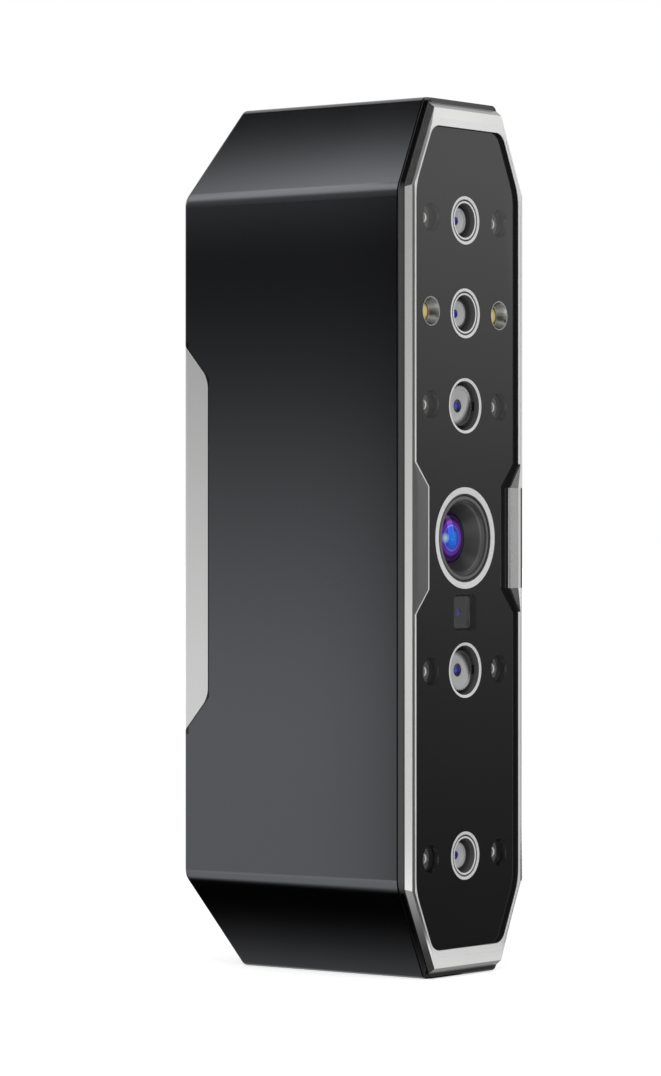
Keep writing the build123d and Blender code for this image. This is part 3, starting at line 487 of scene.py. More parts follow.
# infrared lamp: dark dome; near the axis brown glue, and right of an edge just left of the axis a pale painted
# glint
def infraredLamp(name):
    finish = Finish(name)
    heights = (layout["outerLamps"], layout["innerLamps"], -layout["innerLamps"], -layout["outerLamps"])
    near = lampRadius(finish, heights) < infraredLampLook["reach"]
    x, y, z = finish.parts(finish.point())
    side = x - layout["lampColumn"] * ((x > 0.0) * 2.0 - 1.0)
    dust = finish.noise(0.0005, 2)
    # painted glint: the pale half of the disc right of its edge
    domeGlint = near * (side > infraredLampLook["flat"])
    dome = finish.mix(near * (1.0 - domeGlint), infraredLampLook["dome"], infraredLampLook["glue"])
    return finish.surface(
        colour=finish.mix(domeGlint, dome, infraredLampLook["tone"]), rough=0.4 + 0.1 * dust, gloss=0.25)


phosphor = dict(reach=2.0 * mm, gel=(1.0, 0.85, 0.45, 1),
                stops=[(0.0, (1.0, 0.82, 0.28, 1)), (0.55, (1.0, 0.76, 0.16, 1)),
                       (0.8, (0.9, 0.62, 0.1, 1)), (1.0, (0.6, 0.45, 0.16, 1))])


# phosphor lamp: warm yellow disc, darker towards its rim, fine grain in the gel
def phosphorLamp(name):
    finish = Finish(name)
    radius = lampRadius(finish, (layout["whiteLamps"] - layout["middle"],)) / phosphor["reach"]
    gel = finish.noise(0.00025, 2)
    tone = finish.ramp(radius, phosphor["stops"])
    return finish.surface(
        colour=finish.mix(gel * 0.35, tone, phosphor["gel"]), rough=0.3 + 0.1 * gel, coat=0.8, coatRough=0.05,
        normal=finish.bump(gel, 0.00002, 0.4))


# socket steel: drawn steel shell, black tongue where the point lies inside the tongue's box
def socketSteel(name, place, half):
    finish = Finish(name)
    x, y, z = finish.parts(finish.point(place))
    tongue = (abs(x) < half[0]) * (abs(y) < half[1])
    lines = finish.noise(0.0008, 2, stretch=(1, 1, 0.1))
    steel = finish.mix(lines, grey(0.62), grey(0.5))
    return finish.surface(
        colour=finish.mix(tongue, steel, (0.012, 0.012, 0.013, 1)), metal=1.0 - tongue,
        rough=0.28 + 0.12 * lines + 0.2 * tongue, normal=finish.bump(lines, 0.00001, 0.3))


# cable film: amber film, copper runs where a sine of x is high
def cableFilm(name, pitch, film, copper):
    finish = Finish(name)
    x, y, z = finish.parts(finish.point())
    runs = (x * (2 * math.pi / pitch)).sine() > 0.2
    cloud = finish.noise(0.006, 2)
    return finish.surface(
        colour=finish.mix(runs * 0.8, film, copper), rough=0.3 + 0.1 * cloud,
        normal=finish.bump(runs, 0.00003, 0.4))


# soft pad: grey gel, powdery
def softPad(name, dark, pale):
    finish = Finish(name)
    powder = finish.noise(0.0008, 3)
    return finish.surface(
        colour=finish.mix(powder, dark, pale), rough=0.7 + 0.1 * powder,
        normal=finish.bump(powder, 0.00003, 0.4))


# light pipe: milky rod, whiter where the noise is high
def lightPipe(name, dark, pale):
    finish = Finish(name)
    cloud = finish.noise(0.0006, 2)
    return finish.surface(
        colour=finish.mix(cloud, dark, pale), rough=0.25 + 0.1 * cloud, under=0.4, underScale=0.001, coat=0.5,
        coatRough=0.1)


# what a finish needs, by the piece that wears it
look = dict(
    housing=dict(dark=(0.0010, 0.0010, 0.0011, 1), pale=(0.0016, 0.0016, 0.0017, 1), rough=0.14,
                 grain=0.00035, depth=0.000002, gloss=1.0, ior=1.64, tint=(0.905, 0.935, 1.0, 1)),
    frame=dict(dark=(0.001, 0.001, 0.0011, 1), pale=(0.002, 0.002, 0.0021, 1), rough=0.15, grain=0.0003,
               depth=0.0000015, gloss=0.75, edge=0.3 * mm, lean=0.09,
               slant=dict(x=0.905, z=0.4256, reach=9.81 * mm)),
    bezel=dict(tone=(0.84, 0.84, 0.83, 1), rough=0.16, grain=0.00025, depth=0.000001, edge=0.05 * mm,
               # tones of the painted shade on the wall and at its foot, and of the painted highlight on the lip
               paintedLight=dict(wall=0.008, foot=0.06, lip=1.0),
               inner=dict(side=22.3 * mm, slantX=0.905, slantZ=0.4256, slantReach=56.7 * mm, end=102.5 * mm,
                          depth=0.12 * mm),
               step=dict(edge=16.93 * mm, half=12.5 * mm, flare=1.268, reach=18.5 * mm, out=22.4 * mm,
                         lean=0.2, rim=17.4 * mm, rimFlare=1.193, highlightBrink=17.35 * mm, flankTop=-0.15 * mm,
                         flankFoot=0.42 * mm, lineOut=23.2 * mm)),
    trim=dict(tone=(0.85, 0.85, 0.845, 1), rough=0.36, grain=0.00025, depth=0.000004, metal=0.55,
              tab=dict(half=40.0 * mm, slope=1.14, share=0.66, round=1.6 * mm, line=0.12 * mm,
                       side=24.4 * mm, black=0.0015)),
    ring=dict(tone=(0.98, 0.98, 0.975, 1), rough=0.3, pitch=0.00016, depth=0.000003, metal=0.1,
              edge=0.06 * mm, face=0.24 * mm, inside=0.13),
    narrowBarrel=dict(reach=4.0 * mm, rough=0.42, pitch=0.0002, depth=0.000004, metal=0.2,
                      stops=[(0.0, 0.7), (0.74, 0.72), (0.78, 0.14), (1.0, 0.12)]),
    wideBarrel=dict(reach=6.7 * mm, rough=0.42, pitch=0.0002, depth=0.000004, metal=0.2,
                    stops=[(0.0, 0.6), (0.85, 0.68), (1.0, 0.08)]),
    projectorBarrel=dict(reach=10.4 * mm, rough=0.32, pitch=0.0004, depth=0.000008, metal=0.3,
                         stops=[(0.0, 0.03), (0.66, 0.05), (0.8, 0.06), (0.82, 0.16), (0.84, 0.06),
                                (0.9, 0.09), (0.93, 0.2), (1.0, 0.16)]),
    # lenses: a painted glint beside the axis on the wide and projector lenses, a painted glow on the projector
    # and sensor
    narrowLens=dict(reach=1.05 * mm, metal=0.2),
    wideLens=dict(reach=1.65 * mm, metal=0.2,
                  lensGlint=dict(aside=-0.75 * mm, reach=1.1 * mm, tone=(0.04, 0.05, 0.6, 1))),
    projectorLens=dict(reach=6.32 * mm, metal=0.75, glow=0.35,
                       lensGlint=dict(aside=-2.7 * mm, reach=1.5 * mm, tone=(0.7, 1.0, 1.0, 1))),
    sensorLens=dict(reach=1.1 * mm, metal=0.2, glow=0.4),
    cup=dict(tone=(0.5, 0.5, 0.49, 1), rough=0.2, pitch=0.0002, depth=0.000002),
    insert=dict(tone=(0.6, 0.6, 0.59, 1), rough=0.3, pitch=0.0002, depth=0.000003, upright=True),
    spacer=dict(tone=(0.72, 0.5, 0.2, 1), rough=0.28, pitch=0.0004, depth=0.000003),
    baffle=dict(tone=0.012, pale=0.1, palest=0.5, reach=6.0 * mm),
    socketTongue=(3.36 * mm, 0.36 * mm),
    rearScrew=dict(tone=(0.16, 0.16, 0.165, 1), rough=0.32, grain=0.0002, depth=0.000003),
    innerScrew=dict(tone=(0.6, 0.6, 0.6, 1), rough=0.3, grain=0.0002, depth=0.000003),
    contact=dict(tone=(0.85, 0.6, 0.22, 1), rough=0.25, grain=0.0001, depth=0.000002),
    lampBoard=dict(lacquer=(0.012, 0.014, 0.013, 1), track=(0.05, 0.045, 0.03, 1)),
    board=dict(lacquer=(0.012, 0.06, 0.03, 1), track=(0.12, 0.16, 0.05, 1)),
    cable=dict(pitch=0.5 * mm, film=(0.32, 0.13, 0.02, 1), copper=(0.5, 0.26, 0.08, 1)),
    pad=dict(dark=(0.32, 0.36, 0.42, 1), pale=(0.42, 0.46, 0.5, 1)),
    pipe=dict(dark=(0.62, 0.68, 0.7, 1), pale=(0.8, 0.84, 0.84, 1)),
    rearPlastic=dict(dark=(0.012, 0.012, 0.0125, 1), pale=(0.018, 0.018, 0.0185, 1), rough=0.45,
                     grain=0.0005, depth=0.00002),
    innerPlastic=dict(dark=grey(0.012), pale=grey(0.02), rough=0.5, grain=0.0004, depth=0.00001),
    button=dict(dark=(0.03, 0.03, 0.031, 1), pale=(0.04, 0.04, 0.041, 1), rough=0.5, grain=0.00035,
                depth=0.000012),
    sign=dict(dark=grey(0.62), pale=grey(0.7), rough=0.5, grain=0.0003, depth=0.000005),
)
# the projector's ring has a shallower face and a wide bore, painted as shade out to the hub
look["projectorRing"] = dict(look["ring"], face=0.19 * mm, inside=0.05, hub=10.95 * mm)
# how far the painted shadow on the inner cameras' barrels is set aside, sideways and away from mid-height
barrelShade = dict(aside=-2.2 * mm, away=2.1 * mm)

# colour rings of the lenses, by share of their reach: coating tint and painted reflections
look["narrowLens"]["stops"] = look["sensorLens"]["stops"] = [
    (0.0, (0.01, 0.01, 0.06, 1)), (0.4, (0.03, 0.03, 0.3, 1)), (0.7, (0.06, 0.05, 0.7, 1)),
    (0.88, (0.02, 0.02, 0.12, 1)), (1.0, (0.005, 0.005, 0.01, 1))]
look["wideLens"]["stops"] = [
    (0.0, (0.012, 0.014, 0.03, 1)), (0.7, (0.02, 0.022, 0.04, 1)), (0.84, (0.09, 0.09, 0.1, 1)),
    (0.92, (0.02, 0.02, 0.02, 1)), (1.0, (0.01, 0.01, 0.01, 1))]
look["projectorLens"]["stops"] = [
    (0.0, (0.015, 0.2, 0.85, 1)), (0.3, (0.02, 0.14, 0.78, 1)), (0.44, (0.05, 0.09, 0.62, 1)),
    (0.5, (0.24, 0.2, 0.85, 1)), (0.55, (0.06, 0.04, 0.38, 1)), (0.62, (0.22, 0.05, 0.55, 1)),
    (0.7, (0.09, 0.02, 0.2, 1)), (0.76, (0.02, 0.008, 0.05, 1)), (0.85, (0.08, 0.018, 0.15, 1)),
    (0.91, (0.02, 0.01, 0.035, 1)), (1.0, (0.01, 0.008, 0.015, 1))]

finishes = {
    "housing_shell": satinPaint("satinHousing", **look["housing"]),
    "front_frame": framePaint("satinFrame", **look["frame"]),
    "front_bezel": bezelSilver("satinBezel", **look["bezel"]),
    "rear_trim": trimSilver("satinTrim", **look["trim"]),
    "front_window": blackGlass("frontGlass", (0.013, 0.013, 0.0133, 1), 0.02),
    "control_panel": blackGlass("glossPanel", (0.008, 0.008, 0.009, 1), 0.06),
    "lamp_windows": smokedGlass("lampGlass", (0.86, 0.86, 0.87, 1)),
    "sensor_window": smokedGlass("sensorGlass", (0.5, 0.5, 0.52, 1)),
    "groove_ring": rubber("grooveRubber", 0.002),
    "window_seal": rubber("sealRubber", 0.008),
    "sensor_core": rubber("sensorBlack", 0.014),
    "projector_ring": lensRing("projectorRing", layout["middle"], **look["projectorRing"]),
    "projector_barrel": funnelMetal("projectorBarrel", layout["middle"], **look["projectorBarrel"]),
    "projector_lens": coatedLens("projectorLens", layout["middle"], **look["projectorLens"]),
    "sensor_lens": coatedLens("sensorLens", layout["sensor"], **look["sensorLens"]),
    "light_baffle": baffleBlack("baffleBlack", **look["baffle"]),
    "reflector_cups": turnedMetal("lampCup", (0, 0, layout["middle"]), **look["cup"]),
    "infrared_lamps": infraredLamp("infraredLamp"),
    "white_lamps": phosphorLamp("phosphorLamp"),
    "rear_cover": mouldedPlastic("rearPlastic", **look["rearPlastic"]),
    "status_light_pipes": lightPipe("lightPipe", **look["pipe"]),
    "usb_socket": socketSteel("socketSteel", (0, midOf("usb_socket").y, 0), look["socketTongue"]),
    "tripod_insert": turnedMetal("insertSteel", midOf("tripod_insert"), **look["insert"]),
    "rear_cover_screws": satinSilver("screwSteel", **look["rearScrew"]),
    "inner_screws": satinSilver("innerScrewSteel", **look["innerScrew"]),
    "lamp_board": circuitBoard("lampBoard", **look["lampBoard"]),
    "camera_boards": circuitBoard("cameraBoard", **look["board"]),
    "main_board": circuitBoard("mainBoard", **look["board"]),
    "button_board": circuitBoard("buttonBoard", **look["board"]),
    "optical_bench": milledMetal("benchMetal", (0.66, 0.66, 0.67, 1), 0.34),
    "projector_heat_sink": milledMetal("sinkMetal", (0.6, 0.6, 0.61, 1), 0.36),
    "heat_spreader": milledMetal("spreaderMetal", (0.68, 0.68, 0.69, 1), 0.3),
    "board_spacers": turnedMetal("spacerBrass", (0, 0, 0), **look["spacer"]),
    "flat_cables": cableFilm("cableFilm", **look["cable"]),
    "thermal_pad": softPad("thermalPad", **look["pad"]),
}
innerPlastic = mouldedPlastic("blackPlastic", **look["innerPlastic"])
for node in ("projector_housing", "lens_holders", "switch_bodies", "scan_switch_stem", "plus_switch_stem",
             "minus_switch_stem"):
    finishes[node] = innerPlastic
buttonPlastic = mouldedPlastic("buttonPlastic", **look["button"])
for node in ("scan_button", "plus_button", "minus_button"):
    finishes[node] = buttonPlastic
for camera, height in layout["cameras"].items():
    lens, barrel = look["narrowLens"], look["narrowBarrel"]
    if "inner" in camera:
        away = math.copysign(barrelShade["away"], height - layout["middle"])
        lens, barrel = look["wideLens"], dict(look["wideBarrel"], aside=(barrelShade["aside"], away))
    finishes[camera + "_lens_ring"] = lensRing(camera + "Ring", height, **look["ring"])
    finishes[camera + "_lens_barrel"] = funnelMetal(camera + "Barrel", height, **barrel)
    finishes[camera + "_lens"] = coatedLens(camera + "Lens", height, **lens)
for node, piece in cadNodes.items():
    piece.data.materials.clear()
    piece.data.materials.append(finishes[node])
print("finishes set:", len(finishes), "nodes")


# a grid of points becomes quads: each row and column joins its next, and wrapped columns join their ends
def gridPiece(name, points, wrapColumns=False):
    rows, columns = points.shape[-3:-1]
    points = points.reshape(-1, rows, columns, 3)
    index = np.arange(rows * columns).reshape(rows, columns)
    if wrapColumns:
        index = np.hstack([index, index[:, :1]])
    corners = [index[:-1, :-1], index[:-1, 1:], index[1:, 1:], index[1:, :-1]]
    quads = np.stack(corners, axis=-1).reshape(-1, 4)
    first = np.arange(len(points)) * rows * columns
    quads = (quads[None] + first[:, None, None]).reshape(-1, 4)
    mesh = bpy.data.meshes.new(name)
    mesh.from_pydata(points.reshape(-1, 3).tolist(), [], quads.tolist())
    mesh.update()
    piece = bpy.data.objects.new(name, mesh)
    scene.collection.objects.link(piece)
    return piece


# doubles at poles and seams are merged and the faces turned outwards
def closeUp(piece, distance=1e-6):
    work = bmesh.new()
    work.from_mesh(piece.data)
    bmesh.ops.remove_doubles(work, verts=work.verts, dist=distance)
    bmesh.ops.dissolve_degenerate(work, edges=work.edges, dist=distance)
    bmesh.ops.recalc_face_normals(work, faces=work.faces)
    work.to_mesh(piece.data)
    work.free()
    return piece


# button signs
buttonSign = dict(lift=0.04 * mm, sink=0.06 * mm, dish=0.35 * mm, capY=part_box("scan_button")[1].y, angles=192,
                  triangle=1.302 * mm, barLength=1.9 * mm, barWidth=0.38 * mm, smallFlat=3.7 * mm,
                  scanFlat=5.7 * mm, tiny=1e-9)


# radius of a triangle by angle: its inner radius over the cosine of the angle from the nearest side's middle
def triangleOutline(angle):
    return buttonSign["triangle"] / np.cos((angle + math.pi) % (2 * math.pi / 3) - math.pi / 3)


# radius of a bar by angle: the nearer of its end and its long side, with the divisors kept above zero
def barOutline(angle):
    across = np.abs(np.cos(angle)) + buttonSign["tiny"]
    upward = np.abs(np.sin(angle)) + buttonSign["tiny"]
    return np.minimum(buttonSign["barLength"] / across, buttonSign["barWidth"] / upward)


# radius of a cross by angle: the longer of a lying and a standing bar
def crossOutline(angle):
    return np.maximum(barOutline(angle), barOutline(angle + math.pi / 2))


# the outline is swept from the centre to its rim on the dished cap, then down into the cap and back
def makeSign(name, outline, height, flat):
    angle = np.linspace(0, 2 * math.pi, buttonSign["angles"], endpoint=False)
    share = np.array([0.0, 0.3, 0.6, 0.85, 0.97, 1.0, 1.0, 0.0])[:, None]
    lift = np.array([1.0, 1.0, 1.0, 1.0, 1.0, 0.6, -1.0, -1.0])[:, None]
    radius = share * outline(angle)[None]
    x = radius * np.cos(angle)
    z = height + radius * np.sin(angle)
    cap = buttonSign["capY"] - buttonSign["dish"] * (1 - (radius / flat) ** 2)
    y = cap + np.where(lift > 0, lift * buttonSign["lift"], lift * buttonSign["sink"])
    return closeUp(gridPiece(name, np.stack([x, y, z], axis=-1), wrapColumns=True))


signPaint = mouldedPlastic("signPaint", **look["sign"])
signs = [("scan_sign", triangleOutline, buttonSign["scanFlat"], "scan_button"),
         ("plus_sign", crossOutline, buttonSign["smallFlat"], "plus_button"),
         ("minus_sign", barOutline, buttonSign["smallFlat"], "minus_button")]
for name, outline, flat, body in signs:
    piece = makeSign(name, outline, midOf(body).z, flat)
    piece.data.materials.append(signPaint)
    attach(piece, body)
print("button signs made:", len(signs))

# tripod thread
thread = dict(bore=3.175 * mm, crest=2.62 * mm, pitch=1.27 * mm, start=0.9 * mm, bury=0.03 * mm, turns=5.4,
              steps=72, runOut=0.35, y=midOf("tripod_insert").y)


# a small flat-topped triangle carried along a helix inside the insert's bore, lower towards both ends
def makeThread():
    turn = np.linspace(0, thread["turns"], int(thread["turns"] * thread["steps"]))
    fade = np.clip(np.minimum(turn, turn[-1] - turn) / thread["runOut"], 0, 1) ** 0.5
    half = thread["pitch"] * np.array([-0.46, -0.07, 0.07, 0.46])
    reach = np.array([0.0, 1.0, 1.0, 0.0])
    inwards = reach[None] * (thread["bore"] - thread["crest"]) * fade[:, None]
    radius = thread["bore"] + thread["bury"] - inwards
    angle = turn[:, None] * 2 * math.pi
    z = (thread["start"] + turn * thread["pitch"])[:, None] + half[None]
    points = np.stack([radius * np.cos(angle), thread["y"] + radius * np.sin(angle), z], axis=-1)
    return closeUp(gridPiece("tripod_thread_ridge", points, wrapColumns=True))


ridge = makeThread()
ridge.data.materials.append(finishes["tripod_insert"])
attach(ridge, "scanner_body")
print("thread made")

# socket contacts
contact = dict(count=12, pitch=0.5 * mm, width=0.26 * mm, proud=0.06 * mm, low=1.25 * mm, high=5.2 * mm,
               y=midOf("usb_socket").y, tongue=0.35 * mm, points=12)


# a circle's sine or cosine squared up to a superellipse: its root, with its sign kept
def squaredUp(value):
    return np.sign(value) * np.abs(value) ** 0.5


# rounded bars, a superellipse section carried along z, in two rows on the tongue
def makeContacts():
    around = np.linspace(0, 2 * math.pi, contact["points"], endpoint=False)
    along = np.array([0.0, 0.0, 0.06, 0.94, 1.0, 1.0])[:, None]
    swell = np.array([0.0, 0.7, 1.0, 1.0, 0.7, 0.0])[:, None]
    x = swell * squaredUp(np.cos(around)) * contact["width"] / 2
    y = swell * squaredUp(np.sin(around)) * contact["proud"]
    z = contact["low"] + along * (contact["high"] - contact["low"]) + 0 * around
    bar = np.stack([x, y, z], axis=-1)
    columns = (np.arange(contact["count"]) - (contact["count"] - 1) / 2) * contact["pitch"]
    sides = contact["y"] + np.array([-1.0, 1.0]) * contact["tongue"]
    shiftX, shiftY = np.tile(columns, 2), np.repeat(sides, contact["count"])
    shift = np.stack([shiftX, shiftY, 0 * shiftX], axis=-1)
    return closeUp(gridPiece("socket_contacts", bar[None] + shift[:, None, None], wrapColumns=True))


contacts = makeContacts()
contacts.data.materials.append(satinSilver("contactGold", **look["contact"]))
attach(contacts, "scanner_body")
print("socket contacts made")

# screw stars
star = dict(radius=0.95 * mm, lobe=0.17, lobes=6, lift=0.012 * mm, floor=0.02 * mm, head=1.9 * mm, angles=72,
            dark=0.004)


# a circle with a cosine of six lobes, dished as a cup on each screw head and painted dark as the recess's shade
def makeStars():
    angle = np.linspace(0, 2 * math.pi, star["angles"], endpoint=False)
    outline = star["radius"] * (1 + star["lobe"] * np.cos(star["lobes"] * angle)) / (1 + star["lobe"])
    share = np.array([0.0, 0.55, 0.86, 1.0, 1.0, 0.0])[:, None]
    level = np.array([0.2, 0.2, 0.35, 1.0, -1.0, -1.0])[:, None]
    radius = share * outline[None]
    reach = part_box("rear_cover_screws")[1]
    y = reach.y + np.where(level > 0, level * star["lift"], level * star["floor"]) + 0 * angle
    cup = np.stack([radius * np.cos(angle), y, radius * np.sin(angle)], axis=-1)
    column, row = reach.x - star["head"], reach.z - star["head"] - layout["middle"]
    spots = [[side * column, 0, layout["middle"] + end * row] for side in (-1, 1) for end in (-1, 1)]
    cups = cup[None] + np.array(spots)[:, None, None]
    return closeUp(gridPiece("screw_stars", cups, wrapColumns=True))


stars = makeStars()
# each star is painted near-black as the shade in its recess
stars.data.materials.append(rubber("starShade", star["dark"]))
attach(stars, "scanner_body")
print("screw stars made")

# floor and studio: white floor and white surround; cards seen only by glossy rays shade the reflections
stageLook = dict(floorHalf=12.0, floorLines=9, floorTone=0.78, fibre=1.03, floorGlow=0.62, worldLight=0.75)


# 1 on rays that see the surround: from the camera, off gloss or through glass
def seeingRays(finish):
    direct = finish.node("ShaderNodeLightPath", out="Is Camera Ray")
    glossy = finish.node("ShaderNodeLightPath", out="Is Glossy Ray")
    through = finish.node("ShaderNodeLightPath", out="Is Transmission Ray")
    return direct.most(glossy).most(through)


# white paper, its tone drifting with a fine noise; it also glows on the rays that see it
def makeFloor():
    side = np.linspace(-stageLook["floorHalf"], stageLook["floorHalf"], stageLook["floorLines"])
    x, y = np.meshgrid(side, side)
    floor = gridPiece("floor", np.stack([x, y, 0 * x], axis=-1))
    finish = Finish("floorPaper")
    tone = stageLook["floorTone"]
    fibre = finish.mix(finish.noise(0.004, 3), grey(tone), grey(tone * stageLook["fibre"]))
    paper = finish.node("ShaderNodeBsdfDiffuse", None, {"Color": fibre, "Roughness": 0.5})
    white = finish.node("ShaderNodeEmission", None, {"Color": grey(1), "Strength": stageLook["floorGlow"]})
    lit = finish.node("ShaderNodeAddShader", None, {0: paper, 1: white})
    seen = finish.node("ShaderNodeMixShader", None, {0: seeingRays(finish), 1: paper, 2: lit})
    finish.node("ShaderNodeOutputMaterial", None, {"Surface": seen})
    floor.data.materials.append(finish.owner)


# white sky, full on the rays that see it and weaker as light
def makeWorld():
    world = bpy.data.worlds.new("studio")
    scene.world = world
    finish = Finish("studio", world)
    seen = seeingRays(finish)
    strength = seen + (1 - seen) * stageLook["worldLight"]
    sky = finish.node("ShaderNodeBackground", None, {"Color": grey(1), "Strength": strength})
    finish.node("ShaderNodeOutputWorld", None, {"Surface": sky})


# stops of one tone
def evenStops(tone):
    return [(0.0, tone), (1.0, tone)]


even = evenStops(1.0)


# a flat card from a corner along two edges, for reflections only: its glow is stops along the second edge,
# times stops along the first edge
def makeCard(name, corner, across, upward, stops, sideStops=even):
    corner, across, upward = np.array(corner), np.array(across), np.array(upward)
    sideways, onwards = np.meshgrid(np.linspace(0, 1, 3), np.linspace(0, 1, 3))
    card = gridPiece(name, corner + sideways[..., None] * across + onwards[..., None] * upward)
    finish = Finish(name + "Glow")
    tones = []
    for edge, marks in ((upward, stops), (across, sideStops)):
        sockets = {0: finish.point(tuple(corner)), 1: tuple(edge / (edge @ edge))}
        share = finish.node("ShaderNodeVectorMath", dict(operation="DOT_PRODUCT"), sockets, out="Value")
        tones.append(finish.ramp(share, greyStops(marks)))
    tone = finish.mix(1.0, *tones, way="MULTIPLY")
    glow = finish.node("ShaderNodeEmission", None, {"Color": tone, "Strength": 1.0})
    finish.node("ShaderNodeOutputMaterial", None, {"Surface": glow})
    card.data.materials.append(finish.owner)
    card.visible_camera = card.visible_diffuse = card.visible_shadow = card.visible_transmission = False


# the direction at an angle in the floor plane, counted from +x towards +y
def heading(degrees):
    return np.array([math.cos(math.radians(degrees)), math.sin(math.radians(degrees)), 0.0])


upright = np.array([0.0, 0.0, 1.0])
makeFloor()
makeWorld()
# left, level with the long black side: bright foot fading to dark, above it a bright band for the upper
# slanted face, and dark strips for the slanted edge of the frame
sideX = -0.13
sideCards = dict(
    sideCard=dict(near=0.02, far=0.4, low=0.0, high=0.24,
                  sideStops=[(0.0, 0.1), (0.04, 0.3), (0.085, 0.85), (0.14, 1.0), (1.0, 1.0)],
                  stops=[(0.05, 0.78), (0.23, 0.8), (0.3, 0.76), (0.36, 0.68), (0.42, 0.59), (0.48, 0.48),
                         (0.54, 0.37), (0.6, 0.25), (0.66, 0.16), (0.72, 0.1), (0.775, 0.07), (0.81, 0.12),
                         (0.85, 0.22), (0.92, 0.3), (1.0, 0.4)]),
    foldCard=dict(near=0.045, far=0.4, low=0.24, high=0.3, sideStops=even,
                  stops=[(0.0, 0.4), (0.4, 1.6), (1.0, 1.8)]),
    bandCard=dict(near=0.085, far=0.4, low=0.3, high=0.64,
                  sideStops=[(0.0, 1.0), (0.11, 1.0), (0.33, 0.6), (1.0, 0.5)],
                  stops=[(0.0, 1.9), (0.14, 2.0), (0.155, 1.6), (0.18, 1.0), (0.2, 0.65), (0.215, 0.42),
                         (0.23, 0.2), (0.25, 0.03), (1.0, 0.02)]),
    frameCard=dict(near=0.02, far=0.085, low=0.3, high=0.64, sideStops=even, stops=evenStops(0.0)),
    cornerCard=dict(near=0.02, far=0.045, low=0.24, high=0.3, sideStops=even, stops=evenStops(0.0)),
)
for name, card in sideCards.items():
    makeCard(name, (sideX, card["near"], card["low"]), (0, card["far"] - card["near"], 0),
             upright * (card["high"] - card["low"]), card["stops"], card["sideStops"])
# front right: ramp, dark at its foot and bright at its top, for the window
frontCard = dict(angle=323, near=0.085, far=0.62, top=0.27, left=-0.06, right=0.0,
                 stops=[(0.0, 0.05), (0.05, 0.058), (0.12, 0.1), (0.22, 0.172), (0.27, 0.227), (0.48, 0.465),
                        (0.6, 0.637), (0.73, 0.79), (0.79, 0.86), (0.9, 1.0), (1.0, 1.03)])
ahead, beside = heading(frontCard["angle"]), heading(frontCard["angle"] + 90)
makeCard("frontCard", ahead * frontCard["near"] + beside * frontCard["left"],
         beside * (frontCard["right"] - frontCard["left"]),
         ahead * (frontCard["far"] - frontCard["near"]) + upright * frontCard["top"], frontCard["stops"])


# a standing card: at a distance along a heading, between two sideways places, from low to high
def standingCard(name, angle, distance, left, right, low, high, stops, sideStops=even):
    beside = heading(angle + 90)
    corner = heading(angle) * distance + beside * left + upright * low
    makeCard(name, corner, beside * (right - left), upright * (high - low), stops, sideStops)


standing = dict(
    # front, beside the ramp: dark for the left facets of the bezel
    roofCard=dict(angle=323, distance=0.22, left=-0.19, right=-0.052, low=0.0, high=0.3,
                  stops=[(0.0, 0.1), (0.7, 0.11), (0.8, 0.2), (1.0, 0.6)]),
    # camera side: grey for the left chamfer
    chamferCard=dict(angle=200.5, distance=0.35, left=-0.12, right=0.12, low=0.0, high=0.5,
                     stops=[(0.0, 0.66), (0.16, 0.72), (0.25, 0.6), (0.34, 0.5), (0.42, 0.44), (1.0, 0.4)]),
    # high on the left: dark for the slanted chamfers
    slantCard=dict(angle=180, distance=0.2, left=0.0, right=0.2, low=0.3, high=0.7, stops=evenStops(0.03)),
    # high behind right: grey for the top chamfer
    endCard=dict(angle=0, distance=0.3, left=-0.1, right=0.25, low=0.3, high=0.6, stops=evenStops(0.46)),
    # front right, far off: grey for the right step, darker above for its upper end
    stepCard=dict(angle=323, distance=0.6, left=0.03, right=0.12, low=0.0, high=0.5,
                  stops=[(0.0, 0.05), (0.13, 0.36), (0.3, 0.38), (0.33, 0.04), (1.0, 0.04)]),
    # beside it: paler sideways for the right edge
    edgeCard=dict(angle=323, distance=0.6, left=0.12, right=0.22, low=0.0, high=0.5, stops=even,
                  sideStops=[(0.0, 0.5), (0.3, 0.72), (1.0, 0.9)]),
)
for name, card in standing.items():
    standingCard(name, **card)
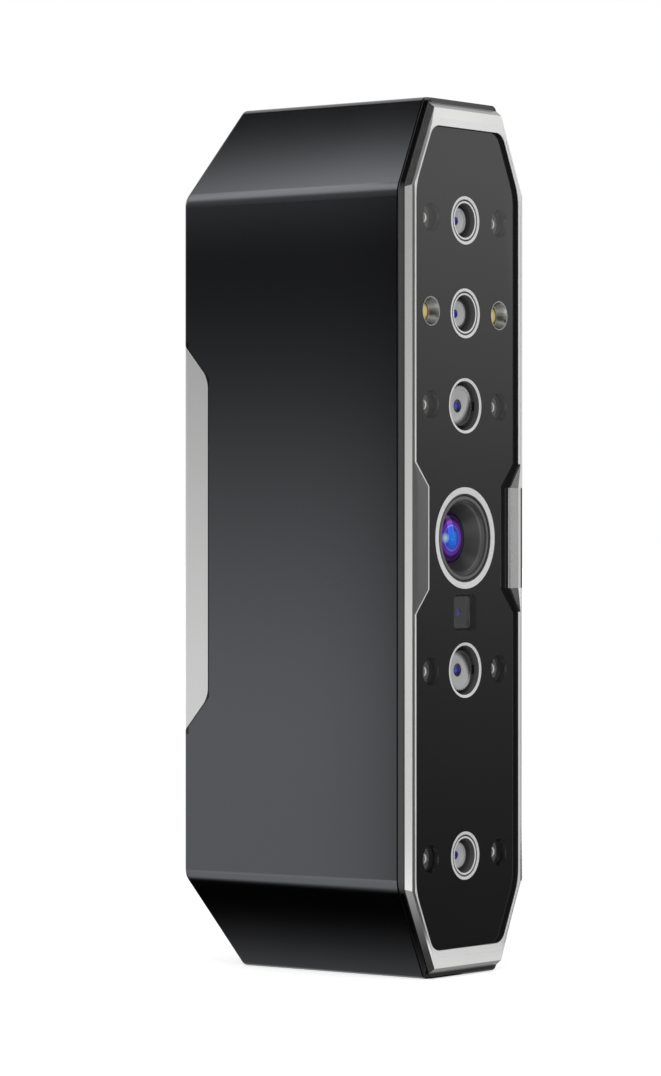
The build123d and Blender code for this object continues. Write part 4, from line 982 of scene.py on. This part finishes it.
# floor on the left, running away from the foot: dark patch for the lower slanted face, and in front of it
# grey for the lower slanted chamfer
leftFloor = dict(
    footCard=dict(near=-0.014, far=-0.1, front=-0.032, back=0.12, height=0.4 * mm,
                  stops=[(0.0, 0.33), (0.035, 0.25), (0.07, 0.17), (0.1, 0.11), (0.135, 0.06), (0.17, 0.02),
                         (0.22, 0.0), (0.37, 0.0), (0.5, 0.95), (1.0, 1.0)]),
    heelCard=dict(near=0.0, far=-0.1, front=-0.075, back=-0.032, height=0.2 * mm,
                  stops=[(0.0, 0.04), (0.22, 0.05), (0.3, 0.13), (0.38, 0.3), (0.45, 0.42), (1.0, 0.6)]),
)
for name, card in leftFloor.items():
    makeCard(name, (card["near"], card["front"], card["height"]), (0, card["back"] - card["front"], 0),
             (card["far"] - card["near"], 0, 0), card["stops"])
# floor in front, along the ramp's heading: pale for the lower end of the bezel, dark for the right step's
# lower end and for the roof of the lower slanted edge
apronHeight = 0.3 * mm
apronCards = dict(
    apronCard=dict(near=0.024, far=0.084, left=-0.046, right=0.01, tone=0.8),
    stepFloorCard=dict(near=0.2, far=0.6, left=0.01, right=0.12, tone=0.06),
    roofFloorCard=dict(near=0.052, far=0.24, left=-0.15, right=-0.048, tone=0.08),
)
for name, card in apronCards.items():
    corner = ahead * card["near"] + beside * card["left"] + upright * apronHeight
    makeCard(name, corner, beside * (card["right"] - card["left"]), ahead * (card["far"] - card["near"]),
             evenStops(card["tone"]))
# floor close to the front: dark grey for the lower chamfer
toeCard = dict(left=-0.015, right=0.035, front=-0.04, back=-0.032, height=0.6 * mm, tone=0.28)
makeCard("toeCard", (toeCard["left"], toeCard["front"], toeCard["height"]),
         (toeCard["right"] - toeCard["left"], 0, 0), (0, toeCard["back"] - toeCard["front"], 0),
         evenStops(toeCard["tone"]))
print("studio set")

# camera: level, on the line of the photograph, focal length in pixels of a picture 1076 pixels high
shot = dict(angle=0.924980327, distance=1.07523965, turn=0.0067276, pivot=30 * mm, pixels=4280.3,
            pictureHeight=1076, sensor=36.0, near=0.01, far=60.0)


# the camera stands at a distance from a pivot behind the housing's front, at an angle from the front, and
# looks past the pivot by a small turn
def makeCamera():
    lens = bpy.data.cameras.new("camera")
    lens.sensor_fit = "VERTICAL"
    lens.sensor_height = shot["sensor"]
    lens.lens = shot["pixels"] / shot["pictureHeight"] * shot["sensor"]
    lens.clip_start = shot["near"]
    lens.clip_end = shot["far"]
    camera = bpy.data.objects.new("camera", lens)
    scene.collection.objects.link(camera)
    aside = math.sin(shot["angle"]) * shot["distance"]
    before = math.cos(shot["angle"]) * shot["distance"]
    camera.location = (-aside, layout["houseFront"] + shot["pivot"] - before, layout["middle"])
    camera.rotation_euler = (math.radians(90), 0, shot["turn"] - shot["angle"])
    scene.camera = camera


makeCamera()
print("camera set")
